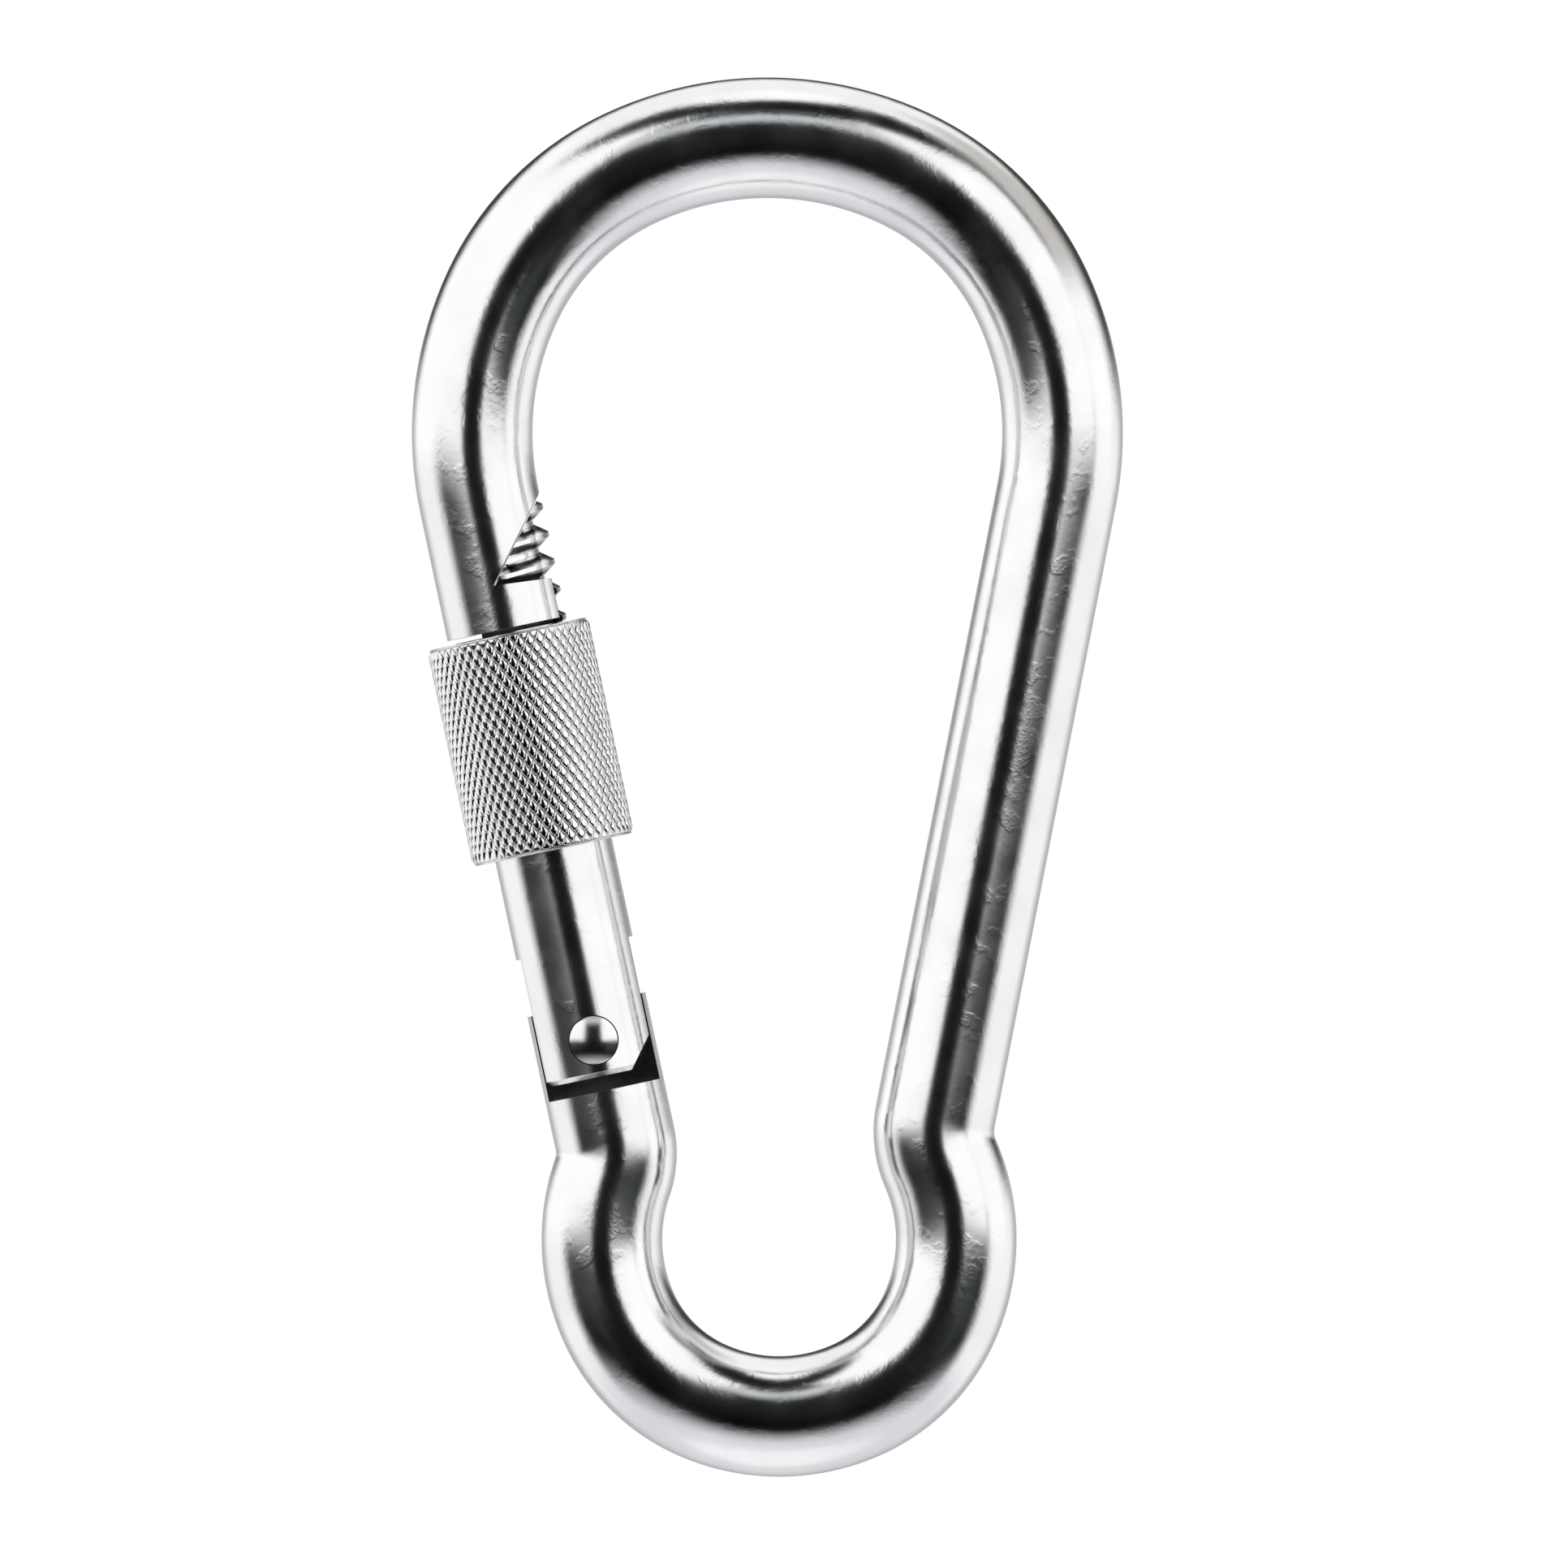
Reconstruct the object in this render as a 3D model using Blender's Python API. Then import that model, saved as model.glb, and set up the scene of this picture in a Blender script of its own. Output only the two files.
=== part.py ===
"""Screw-lock snap hook for keys: a bent bar with a hinged, sprung gate and a knurled screw sleeve.

Units are metres, +Z is up, and +X is the side away from the gate. The origin is the inner top of
the bow, where the hook hangs. The gate's own pieces are modelled along local +Z, with the hinge
pivot at zero and local +X facing the inside of the hook, and hang on an empty at the pivot.
"""

import math

import bmesh
import bpy
from mathutils import Matrix, Vector

# Bent bar
BAR_DIAMETER = 0.0069
BOW_HALF_WIDTH = 0.01688
BOW_SHOULDER_RADIUS = 0.01517
LOOP_HALF_WIDTH = 0.01013
LOOP_SHOULDER_RADIUS = 0.00936
CROWN_HALF_ANGLE = math.radians(25.0)
LOOP_DROP = 0.0461
LOOP_SIDE_OFFSET = 0.00067
GATE_SIDE_TILT = math.radians(12.0)
SPINE_SIDE_TILT = math.radians(11.05)
GATE_NECK_RADIUS = 0.0040
SPINE_NECK_RADIUS = 0.0046

# Hinge, measured along the gate from the pivot
PIVOT_BELOW_BOW = 0.03154
TANG_THICKNESS = 0.0024
TANG_RISE = 0.00205
CHEEK_DROP = 0.0021
SHOULDER_GAP = 0.00085
RIVET_DIAMETER = 0.0018
RIVET_HEAD_DIAMETER = 0.00274
RIVET_HEAD_HEIGHT = 0.00038
RIVET_SEAT_DEPTH = 0.00035

# Nose of the bar, where the gate latches
NOSE_RIM_HEIGHT = 0.02403
COLLAR_HEIGHT = 0.00252
NOTCH_HEIGHT = 0.0047
NOTCH_DEPTH = 0.00368
COLLAR_SLOPE = math.radians(4.0)
TONGUE_THICKNESS = 0.0024
TONGUE_DEPTH = 0.00495

# Gate
SHANK_DIAMETER = 0.0068
FORK_ROOM = 0.00134
FORK_CHAMFER_ANGLE = math.radians(38.0)
SPRING_BORE_DIAMETER = 0.0025

# Screw thread
THREAD_PITCH = 0.0016
THREAD_CREST_DIAMETER = 0.0070
THREAD_DEPTH = 0.00075
THREAD_CREST_FLAT = 0.00025
THREAD_ROOT_FLAT = 0.00025
THREAD_RELIEF = 0.0003

# Locking sleeve and its friction ring
SLEEVE_LENGTH = 0.0126
SLEEVE_WALL = 0.0010
SLEEVE_TURNS = 3.5
SLEEVE_EDGE_BREAK = 0.00015
RING_WIRE_DIAMETER = 0.00045
RING_LIP = 0.00025
RING_LAND = 0.00035

# Spring and plunger in the gate
PLUNGER_DIAMETER = 0.0022
PLUNGER_LENGTH = 0.0046
PLUNGER_CHAMFER = 0.00015
SPRING_WIRE_DIAMETER = 0.00035
SPRING_OUTER_DIAMETER = 0.00205
SPRING_LENGTH = 0.0043
SPRING_CURLS = 5

# Clearances
SEAT_GAP = 0.0003
SWING_GAP = 0.00011
LATCH_GAP = 0.00015
SLIDE_GAP = 0.0002
THREAD_RADIAL_GAP = 0.00012
THREAD_FLANK_GAP = 0.0001
RIVET_GAP = 0.0001
CHEEK_GAP = 0.0001

# Fineness of round shapes
BAR_BEVEL_RESOLUTION = 12
ROUND_SEGMENTS = 32
THREAD_STEPS = 24
SMALL_SEGMENTS = 16
CURL_POINTS = 10
BEND_STEP = math.radians(8.0)
SMOOTH_ANGLE = math.radians(35.0)
MERGE_DISTANCE = 0.000001

BAR_RADIUS = BAR_DIAMETER / 2
SHANK_RADIUS = SHANK_DIAMETER / 2
CREST_RADIUS = THREAD_CREST_DIAMETER / 2
ROOT_RADIUS = CREST_RADIUS - THREAD_DEPTH
REACH = BAR_DIAMETER
BOW_CENTRE = Vector((0.0, 0.0, BAR_RADIUS - BOW_HALF_WIDTH))
LOOP_CENTRE = BOW_CENTRE + Vector((LOOP_SIDE_OFFSET, 0.0, -LOOP_DROP))

# Sleeve sizes that follow from what it slides over
SLEEVE_TRAVEL = SLEEVE_TURNS * THREAD_PITCH
SLEEVE_BORE = max(BAR_RADIUS, CREST_RADIUS) + SLIDE_GAP
SLEEVE_RADIUS = SLEEVE_BORE + SLEEVE_WALL
SLEEVE_TOP = math.sqrt((NOSE_RIM_HEIGHT - SWING_GAP) ** 2 + BAR_RADIUS**2 - SLEEVE_RADIUS**2)
SLEEVE_BOTTOM = SLEEVE_TOP - SLEEVE_LENGTH
RING_TUBE = RING_WIRE_DIAMETER / 2
LOWER_BORE = max(SHANK_RADIUS, CREST_RADIUS) + SLIDE_GAP
RING_GROOVE_LOW = SLEEVE_BOTTOM + RING_LIP
RING_GROOVE_HIGH = RING_GROOVE_LOW + RING_WIRE_DIAMETER + 2 * RIVET_GAP
RING_CENTRE_HEIGHT = (RING_GROOVE_LOW + RING_GROOVE_HIGH) / 2
RING_CENTRE_RADIUS = LOWER_BORE - RIVET_GAP / 2 + RING_TUBE
RING_GROOVE_RADIUS = RING_CENTRE_RADIUS + RING_TUBE + RIVET_GAP
NUT_BOTTOM = RING_GROOVE_HIGH + RING_LAND
NUT_TOP = SLEEVE_TOP - SLEEVE_TRAVEL - (NOSE_RIM_HEIGHT - SLEEVE_TOP) - SEAT_GAP

# Gate sizes that follow from the hinge, the nose and the sleeve
SHANK_TOP = NUT_BOTTOM - SEAT_GAP
THREAD_BOTTOM = SHANK_TOP + THREAD_RELIEF
THREAD_TOP = SLEEVE_TOP + SWING_GAP / 2
COLLAR_TOP = NOSE_RIM_HEIGHT + COLLAR_HEIGHT
NOTCH_CORNER = BAR_RADIUS - NOTCH_DEPTH
NOTCH_ANGLE = math.atan2(NOTCH_DEPTH, NOTCH_HEIGHT)
TONGUE_EDGE = CREST_RADIUS - TONGUE_DEPTH
SHOULDER_DROP = CHEEK_DROP + SHOULDER_GAP
FORK_FLOOR = math.hypot(BAR_RADIUS, TANG_RISE) + FORK_ROOM
FORK_SLOT = TANG_THICKNESS + 2 * CHEEK_GAP
CHAMFER_START = math.sqrt((SHOULDER_DROP - SLIDE_GAP) ** 2 - CHEEK_DROP**2)
RIVET_SEAT = SHANK_RADIUS - RIVET_SEAT_DEPTH
PLUNGER_FACE = TANG_RISE + SEAT_GAP
PLUNGER_BACK = PLUNGER_FACE + PLUNGER_LENGTH
SPRING_LOW = PLUNGER_BACK + SEAT_GAP
SPRING_HIGH = SPRING_LOW + SPRING_LENGTH
SPRING_BORE_HEIGHT = SPRING_HIGH + SEAT_GAP


def heading(angle: float) -> Vector:
    """Unit vector in the hook's plane, at an angle up from +X."""
    return Vector((math.cos(angle), 0.0, math.sin(angle)))


def clear_scene() -> None:
    """Remove every object that the file opened with."""
    for leftover in list(bpy.data.objects):
        bpy.data.objects.remove(leftover, do_unlink=True)


def add_object(name: str, data, parent=None):
    """Link a new object for this data, placed by its parent."""
    piece = bpy.data.objects.new(name, data)
    bpy.context.scene.collection.objects.link(piece)
    piece.parent = parent
    return piece


def mesh_object(name: str, shape: bmesh.types.BMesh, parent=None):
    """Turn a bmesh into a linked object with its faces pointing out."""
    bmesh.ops.recalc_face_normals(shape, faces=shape.faces)
    mesh = bpy.data.meshes.new(name)
    shape.to_mesh(mesh)
    shape.free()
    return add_object(name, mesh, parent)


def as_cutter(piece):
    """Mark a helper shape, which only shapes other pieces."""
    piece.hide_render = True
    piece.display_type = "WIRE"
    return piece


def combine(piece, operation: str, helpers: list) -> None:
    """Cut, join or trim a piece with helper shapes."""
    for helper in helpers:
        boolean = piece.modifiers.new(helper.name, "BOOLEAN")
        boolean.operation = operation
        boolean.solver = "EXACT"
        boolean.object = as_cutter(helper)


def finish(piece, color: tuple, roughness: float, metallic: float) -> None:
    """Give a piece its material and smooth shading with sharp edges kept."""
    material = bpy.data.materials.new(piece.name)
    material.use_nodes = True
    shader = material.node_tree.nodes["Principled BSDF"]
    shader.inputs["Base Color"].default_value = (*color, 1.0)
    shader.inputs["Roughness"].default_value = roughness
    shader.inputs["Metallic"].default_value = metallic
    piece.data.materials.clear()
    piece.data.materials.append(material)
    piece.data.shade_smooth()
    piece.data.set_sharp_from_angle(angle=SMOOTH_ANGLE)


def prism(name: str, outline: list, low: float, high: float, parent):
    """Extrude an outline of local (x, z) points along Y from low to high."""
    shape = bmesh.new()
    corners = [shape.verts.new((x, low, z)) for x, z in outline]
    base = shape.faces.new(corners)
    grown = bmesh.ops.extrude_face_region(shape, geom=[base])
    moved = [item for item in grown["geom"] if isinstance(item, bmesh.types.BMVert)]
    bmesh.ops.translate(shape, verts=moved, vec=(0.0, high - low, 0.0))
    return mesh_object(name, shape, parent)


def turned(name: str, profile: list, parent, along=Matrix.Identity(4), segments=ROUND_SEGMENTS):
    """Spin a closed outline of (radius, height) points about local Z, or about a turned axis."""
    shape = bmesh.new()
    points = [shape.verts.new((radius, 0.0, height)) for radius, height in profile]
    around = zip(points, points[1:] + points[:1])
    edges = [shape.edges.new(pair) for pair in around if any(point.co.x > 0 for point in pair)]
    bmesh.ops.spin(
        shape,
        geom=points + edges,
        cent=(0.0, 0.0, 0.0),
        axis=(0.0, 0.0, 1.0),
        angle=2 * math.pi,
        steps=segments,
        use_merge=True,
    )
    bmesh.ops.remove_doubles(shape, verts=shape.verts, dist=MERGE_DISTANCE)
    bmesh.ops.transform(shape, matrix=along, verts=shape.verts)
    return mesh_object(name, shape, parent)


def rod(name: str, radius: float, low: float, high: float, parent, along=Matrix.Identity(4)):
    """Plain round rod about local Z, or about a turned axis."""
    outline = [(0.0, low), (radius, low), (radius, high), (0.0, high)]
    return turned(name, outline, parent, along)


def thread(name: str, low: float, high: float, grow_radius: float, grow_flank: float, parent):
    """Screw thread from below low to above high, grown by clearances where it is a cutter.

    A crest stands at local +X at the height THREAD_BOTTOM and at every pitch from there, so an
    outside thread and the thread cut for it mesh as they are built.
    """
    root = ROOT_RADIUS + grow_radius
    crest = CREST_RADIUS + grow_radius
    flank = (THREAD_PITCH - THREAD_CREST_FLAT - THREAD_ROOT_FLAT) / 2
    half_crest = THREAD_CREST_FLAT / 2 + grow_flank
    first = math.floor((low - THREAD_BOTTOM) / THREAD_PITCH) - 2
    turns = math.ceil((high - low) / THREAD_PITCH) + 4
    base = THREAD_BOTTOM + first * THREAD_PITCH
    profile = [
        (root, base - half_crest - flank),
        (crest, base - half_crest),
        (crest, base + half_crest),
        (root, base + half_crest + flank),
        (root, base - half_crest - flank + THREAD_PITCH),
    ]
    shape = bmesh.new()
    points = [shape.verts.new((radius, 0.0, height)) for radius, height in profile]
    edges = [shape.edges.new(pair) for pair in zip(points, points[1:])]
    bmesh.ops.spin(
        shape,
        geom=points + edges,
        cent=(0.0, 0.0, 0.0),
        axis=(0.0, 0.0, 1.0),
        dvec=(0.0, 0.0, THREAD_PITCH / THREAD_STEPS),
        angle=2 * math.pi * turns,
        steps=THREAD_STEPS * turns,
    )
    bmesh.ops.remove_doubles(shape, verts=shape.verts, dist=MERGE_DISTANCE)
    middle = base + turns * THREAD_PITCH / 2
    for end in (base, base + turns * THREAD_PITCH):
        rim = [
            edge
            for edge in shape.edges
            if edge.is_boundary and (edge.verts[0].co.z - middle) * (end - middle) > 0
        ]
        fan = bmesh.ops.extrude_edge_only(shape, edges=rim)["geom"]
        tips = [item for item in fan if isinstance(item, bmesh.types.BMVert)]
        bmesh.ops.pointmerge(shape, verts=tips, merge_co=(0.0, 0.0, end))
    return mesh_object(name, shape, parent)


def ring_point(centre: Vector, half_width: float, shoulder_radius: float, angle: float) -> Vector:
    """Point of a slightly squared ring whose outward normal stands at this angle."""
    share = math.cos(CROWN_HALF_ANGLE) - math.sin(CROWN_HALF_ANGLE)
    crown_radius = (half_width - shoulder_radius * share) / (1 - share)
    quarter = math.pi / 2
    crown = round(angle / quarter) * quarter
    if abs(angle - crown) <= CROWN_HALF_ANGLE:
        return centre + (half_width - crown_radius) * heading(crown) + crown_radius * heading(angle)
    shoulder = (math.floor(angle / quarter) + 0.5) * quarter
    offset = (crown_radius - shoulder_radius) * math.sin(CROWN_HALF_ANGLE) * math.sqrt(2)
    return centre + offset * heading(shoulder) + shoulder_radius * heading(angle)


def bow_point(angle: float) -> Vector:
    """Point of the bow's centre line."""
    return ring_point(BOW_CENTRE, BOW_HALF_WIDTH, BOW_SHOULDER_RADIUS, angle)


def loop_point(angle: float) -> Vector:
    """Point of the loop's centre line."""
    return ring_point(LOOP_CENTRE, LOOP_HALF_WIDTH, LOOP_SHOULDER_RADIUS, angle)


def neck_centre(radius: float, angle: float) -> Vector:
    """Centre of a neck bend that leaves the loop at this angle."""
    return loop_point(angle) + radius * heading(angle)


def neck_angle(leg: Vector, outward: Vector, radius: float, outer: float, inner: float) -> float:
    """Angle on the loop at which the neck bend also touches the leg's line."""
    for _ in range(60):
        middle = (outer + inner) / 2
        if (neck_centre(radius, middle) - leg).dot(outward) > radius:
            outer = middle
        else:
            inner = middle
    return (outer + inner) / 2


def bend(point_at, start: float, end: float) -> list:
    """Points along a bend, from one angle to another."""
    steps = max(2, math.ceil(abs(end - start) / BEND_STEP))
    return [point_at(start + (end - start) * step / steps) for step in range(steps + 1)]


def bar_route(pivot: Vector, up: Vector) -> list:
    """Centre line of the bar: nose, bow, spine leg, neck, loop, neck and hinge tang."""
    gate_angle = math.pi + GATE_SIDE_TILT
    spine_angle = -SPINE_SIDE_TILT
    spine_leg = bow_point(spine_angle)
    spine_out = heading(spine_angle)
    gate_out = heading(gate_angle)
    spine_neck = neck_angle(spine_leg, spine_out, SPINE_NECK_RADIUS, -math.pi / 4, math.pi / 2)
    gate_neck = neck_angle(pivot, gate_out, GATE_NECK_RADIUS, 1.25 * math.pi, math.pi / 2)
    spine_bend = neck_centre(SPINE_NECK_RADIUS, spine_neck)
    gate_bend = neck_centre(GATE_NECK_RADIUS, gate_neck)

    route = [pivot + up * (NOSE_RIM_HEIGHT - SEAT_GAP)]
    route += bend(bow_point, gate_angle, spine_angle)
    route += bend(
        lambda angle: spine_bend + SPINE_NECK_RADIUS * heading(angle),
        spine_angle + math.pi,
        spine_neck + math.pi,
    )
    route += bend(loop_point, spine_neck, gate_neck - 2 * math.pi)[1:]
    route += bend(
        lambda angle: gate_bend + GATE_NECK_RADIUS * heading(angle),
        gate_neck - math.pi,
        gate_angle - math.pi,
    )[1:]
    route.append(pivot + up * TANG_RISE)
    return route


def tube(name: str, route: list, diameter: float, resolution: int, parent=None):
    """Round bar or wire along a route, with closed ends, as a mesh object."""
    curve = bpy.data.curves.new(name, "CURVE")
    curve.dimensions = "3D"
    curve.bevel_depth = diameter / 2
    curve.bevel_resolution = resolution
    curve.use_fill_caps = True
    spline = curve.splines.new("POLY")
    spline.points.add(len(route) - 1)
    for point, place in zip(spline.points, route):
        point.co = (*place, 1.0)
    guide = add_object(name + "_guide", curve)
    graph = bpy.context.evaluated_depsgraph_get()
    skin = bpy.data.meshes.new_from_object(guide.evaluated_get(graph))
    bpy.data.objects.remove(guide, do_unlink=True)
    shape = bmesh.new()
    shape.from_mesh(skin)
    bmesh.ops.remove_doubles(shape, verts=shape.verts, dist=MERGE_DISTANCE)
    return mesh_object(name, shape, parent)


def across() -> Matrix:
    """Turn a shape about local Z into one about the hinge axis, local Y."""
    return Matrix.Rotation(math.pi / 2, 4, "X")


def build_hook_body(pivot: Vector, up: Vector, hinge) -> None:
    """Bent bar with the latch notch, nose slot and dished nose end, and the hinge tang."""
    body = tube("hook_body", bar_route(pivot, up), BAR_DIAMETER, BAR_BEVEL_RESOLUTION)
    drop = math.tan(COLLAR_SLOPE)
    notch = prism(
        "notch_cutter",
        [
            (NOTCH_CORNER, COLLAR_TOP),
            (REACH, COLLAR_TOP - (REACH - NOTCH_CORNER) * drop),
            (REACH, COLLAR_TOP + (REACH - NOTCH_CORNER) / math.tan(NOTCH_ANGLE)),
        ],
        -BAR_DIAMETER,
        BAR_DIAMETER,
        hinge,
    )
    slot_half = TONGUE_THICKNESS / 2 + SEAT_GAP
    slot_floor = TONGUE_EDGE - SEAT_GAP
    slot_low = NOSE_RIM_HEIGHT - BAR_DIAMETER
    slot_high = COLLAR_TOP + SWING_GAP / 2
    slot = prism(
        "nose_slot_cutter",
        [(slot_floor, slot_low), (REACH, slot_low), (REACH, slot_high), (slot_floor, slot_high)],
        -slot_half,
        slot_half,
        hinge,
    )
    dish_depth = math.hypot(SLEEVE_TOP, SLEEVE_RADIUS) - NOSE_RIM_HEIGHT + SEAT_GAP
    dish_rim = NOSE_RIM_HEIGHT - dish_depth
    dish = turned(
        "nose_dish_cutter",
        [
            (0.0, slot_low),
            (2 * BAR_RADIUS, slot_low),
            (2 * BAR_RADIUS, dish_rim),
            (0.0, NOSE_RIM_HEIGHT + dish_depth),
        ],
        hinge,
    )
    tang_half = TANG_THICKNESS / 2
    flats = [
        prism(
            "tang_flat_cutter_" + side,
            [(-REACH, -SHOULDER_DROP), (REACH, -SHOULDER_DROP), (REACH, REACH / 2), (-REACH, REACH / 2)],
            *sorted((sign * tang_half, sign * BAR_DIAMETER)),
            hinge,
        )
        for side, sign in (("front", -1), ("back", 1))
    ]
    hole_radius = RIVET_DIAMETER / 2 + RIVET_GAP
    hole = rod("tang_hole_cutter", hole_radius, -BAR_DIAMETER, BAR_DIAMETER, hinge, across())
    combine(body, "DIFFERENCE", [notch, slot, dish, *flats, hole])
    finish(body, (0.86, 0.86, 0.87), 0.08, 1.0)


def tongue_cutter(hinge):
    """Cutter that leaves a flat tongue between the round thread and the latch head above it."""
    half = TONGUE_THICKNESS / 2
    outline = [
        (-REACH, -REACH),
        (REACH, -REACH),
        (REACH, -half),
        (TONGUE_EDGE, -half),
        (TONGUE_EDGE, half),
        (REACH, half),
        (REACH, REACH),
        (-REACH, REACH),
    ]
    shape = bmesh.new()
    base = shape.faces.new([shape.verts.new((x, y, THREAD_TOP)) for x, y in outline])
    grown = bmesh.ops.extrude_face_region(shape, geom=[base])["geom"]
    for corner in (item for item in grown if isinstance(item, bmesh.types.BMVert)):
        corner.co.z = COLLAR_TOP + SEAT_GAP - (corner.co.x - NOTCH_CORNER) * math.tan(COLLAR_SLOPE)
    return mesh_object("tongue_cutter", shape, hinge)


def build_gate(hinge) -> None:
    """Gate with its threaded latch head, tongue, shank and forked hinge end."""
    gate = thread("gate", THREAD_BOTTOM, COLLAR_TOP + NOTCH_HEIGHT, 0.0, 0.0, hinge)
    head_gap = LATCH_GAP / math.cos(NOTCH_ANGLE)
    head_corner = NOTCH_CORNER + head_gap
    tongue_top = COLLAR_TOP - SEAT_GAP
    head_top = COLLAR_TOP + (ROOT_RADIUS - head_corner) / math.tan(NOTCH_ANGLE)
    corner_low = head_corner - (COLLAR_TOP - tongue_top) * math.tan(NOTCH_ANGLE)
    envelope = prism(
        "gate_head_envelope",
        [
            (-REACH, THREAD_BOTTOM),
            (REACH, THREAD_BOTTOM),
            (REACH, head_top),
            (ROOT_RADIUS, head_top),
            (corner_low, tongue_top),
            (-REACH, tongue_top),
        ],
        -BAR_DIAMETER,
        BAR_DIAMETER,
        hinge,
    )
    combine(gate, "DIFFERENCE", [tongue_cutter(hinge)])
    combine(gate, "INTERSECT", [envelope])

    neck_radius = ROOT_RADIUS - SWING_GAP
    shank = turned(
        "gate_shank",
        [
            (0.0, -CHEEK_DROP),
            (SHANK_RADIUS, -CHEEK_DROP),
            (SHANK_RADIUS, SHANK_TOP),
            (neck_radius, SHANK_TOP),
            (neck_radius, THREAD_BOTTOM + THREAD_PITCH),
            (0.0, THREAD_BOTTOM + THREAD_PITCH),
        ],
        hinge,
    )
    combine(gate, "UNION", [shank])

    slot_half = FORK_SLOT / 2
    fork_slot = prism(
        "fork_slot_cutter",
        [(-REACH, -REACH), (REACH, -REACH), (REACH, FORK_FLOOR), (-REACH, FORK_FLOOR)],
        -slot_half,
        slot_half,
        hinge,
    )
    chamfer_rise = (REACH - CHAMFER_START) / math.tan(FORK_CHAMFER_ANGLE)
    chamfer = prism(
        "fork_chamfer_cutter",
        [
            (CHAMFER_START, -CHEEK_DROP),
            (CHAMFER_START, -REACH),
            (REACH, -REACH),
            (REACH, chamfer_rise - CHEEK_DROP),
        ],
        -BAR_DIAMETER,
        BAR_DIAMETER,
        hinge,
    )
    bore = rod("spring_bore_cutter", SPRING_BORE_DIAMETER / 2, TANG_RISE, SPRING_BORE_HEIGHT, hinge)
    hole_radius = RIVET_DIAMETER / 2 + RIVET_GAP
    hole = rod("fork_hole_cutter", hole_radius, -BAR_DIAMETER, BAR_DIAMETER, hinge, across())
    seat_radius = RIVET_HEAD_DIAMETER / 2 + RIVET_GAP
    seats = [
        rod("rivet_seat_cutter_front", seat_radius, RIVET_SEAT, BAR_DIAMETER, hinge, across()),
        rod("rivet_seat_cutter_back", seat_radius, -BAR_DIAMETER, -RIVET_SEAT, hinge, across()),
    ]
    combine(gate, "DIFFERENCE", [fork_slot, chamfer, bore, hole, *seats])
    finish(gate, (0.86, 0.86, 0.87), 0.08, 1.0)


def build_hinge_rivet(hinge) -> None:
    """Rivet with a domed head on each side of the fork."""
    seat = RIVET_SEAT + RIVET_GAP
    radius = RIVET_DIAMETER / 2
    head = RIVET_HEAD_DIAMETER / 2
    dome_steps = 5
    dome = [
        (head * math.cos(turn), seat + RIVET_HEAD_HEIGHT * math.sin(turn))
        for turn in (step * math.pi / 2 / dome_steps for step in range(dome_steps + 1))
    ]
    half = [(radius, seat), *dome[:-1], (0.0, dome[-1][1])]
    outline = [(r, -height) for r, height in reversed(half)] + half
    rivet = turned("hinge_rivet", outline, hinge, across(), SMALL_SEGMENTS)
    finish(rivet, (0.84, 0.84, 0.85), 0.10, 1.0)


def build_locking_sleeve(hinge) -> None:
    """Sleeve with a wide mouth for the nose, a nut thread, and a groove for its ring."""
    break_ = SLEEVE_EDGE_BREAK
    blank_bore = ROOT_RADIUS - THREAD_DEPTH / 2
    sleeve = turned(
        "locking_sleeve",
        [
            (SLEEVE_RADIUS - break_, SLEEVE_BOTTOM),
            (SLEEVE_RADIUS, SLEEVE_BOTTOM + break_),
            (SLEEVE_RADIUS, SLEEVE_TOP - break_),
            (SLEEVE_RADIUS - break_, SLEEVE_TOP),
            (SLEEVE_BORE, SLEEVE_TOP),
            (SLEEVE_BORE, NUT_TOP),
            (blank_bore, NUT_TOP),
            (blank_bore, NUT_BOTTOM),
            (LOWER_BORE, NUT_BOTTOM),
            (LOWER_BORE, RING_GROOVE_HIGH),
            (RING_GROOVE_RADIUS, RING_GROOVE_HIGH),
            (RING_GROOVE_RADIUS, RING_GROOVE_LOW),
            (LOWER_BORE, RING_GROOVE_LOW),
            (LOWER_BORE, SLEEVE_BOTTOM),
        ],
        hinge,
    )
    tap = thread("nut_thread_cutter", NUT_BOTTOM, NUT_TOP, THREAD_RADIAL_GAP, THREAD_FLANK_GAP, hinge)
    combine(sleeve, "DIFFERENCE", [tap])
    finish(sleeve, (0.84, 0.84, 0.85), 0.20, 1.0)


def build_friction_ring(hinge) -> None:
    """Rubber ring in the sleeve's lower end, which keeps the sleeve from turning by itself."""
    turns = [2 * math.pi * step / SMALL_SEGMENTS for step in range(SMALL_SEGMENTS)]
    outline = [
        (RING_CENTRE_RADIUS + RING_TUBE * math.cos(turn), RING_CENTRE_HEIGHT - RING_TUBE * math.sin(turn))
        for turn in turns
    ]
    ring = turned("friction_ring", outline, hinge)
    finish(ring, (0.03, 0.03, 0.03), 0.60, 0.0)


def build_spring_plunger(hinge) -> None:
    """Plunger that the spring holds against the tang, which closes the gate."""
    radius = PLUNGER_DIAMETER / 2
    outline = [
        (0.0, PLUNGER_FACE),
        (radius - PLUNGER_CHAMFER, PLUNGER_FACE),
        (radius, PLUNGER_FACE + PLUNGER_CHAMFER),
        (radius, PLUNGER_BACK),
        (0.0, PLUNGER_BACK),
    ]
    plunger = turned("spring_plunger", outline, hinge, segments=SMALL_SEGMENTS)
    finish(plunger, (0.55, 0.55, 0.56), 0.25, 1.0)


def least_gap_to_itself(route: list, diameter: float) -> float:
    """Least clear distance between stretches of a coil that lie half a curl or more apart."""
    apart = CURL_POINTS // 2
    pairs = ((i, j) for i in range(len(route)) for j in range(i + apart, len(route)))
    return min((route[i] - route[j]).length for i, j in pairs) - diameter


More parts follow.
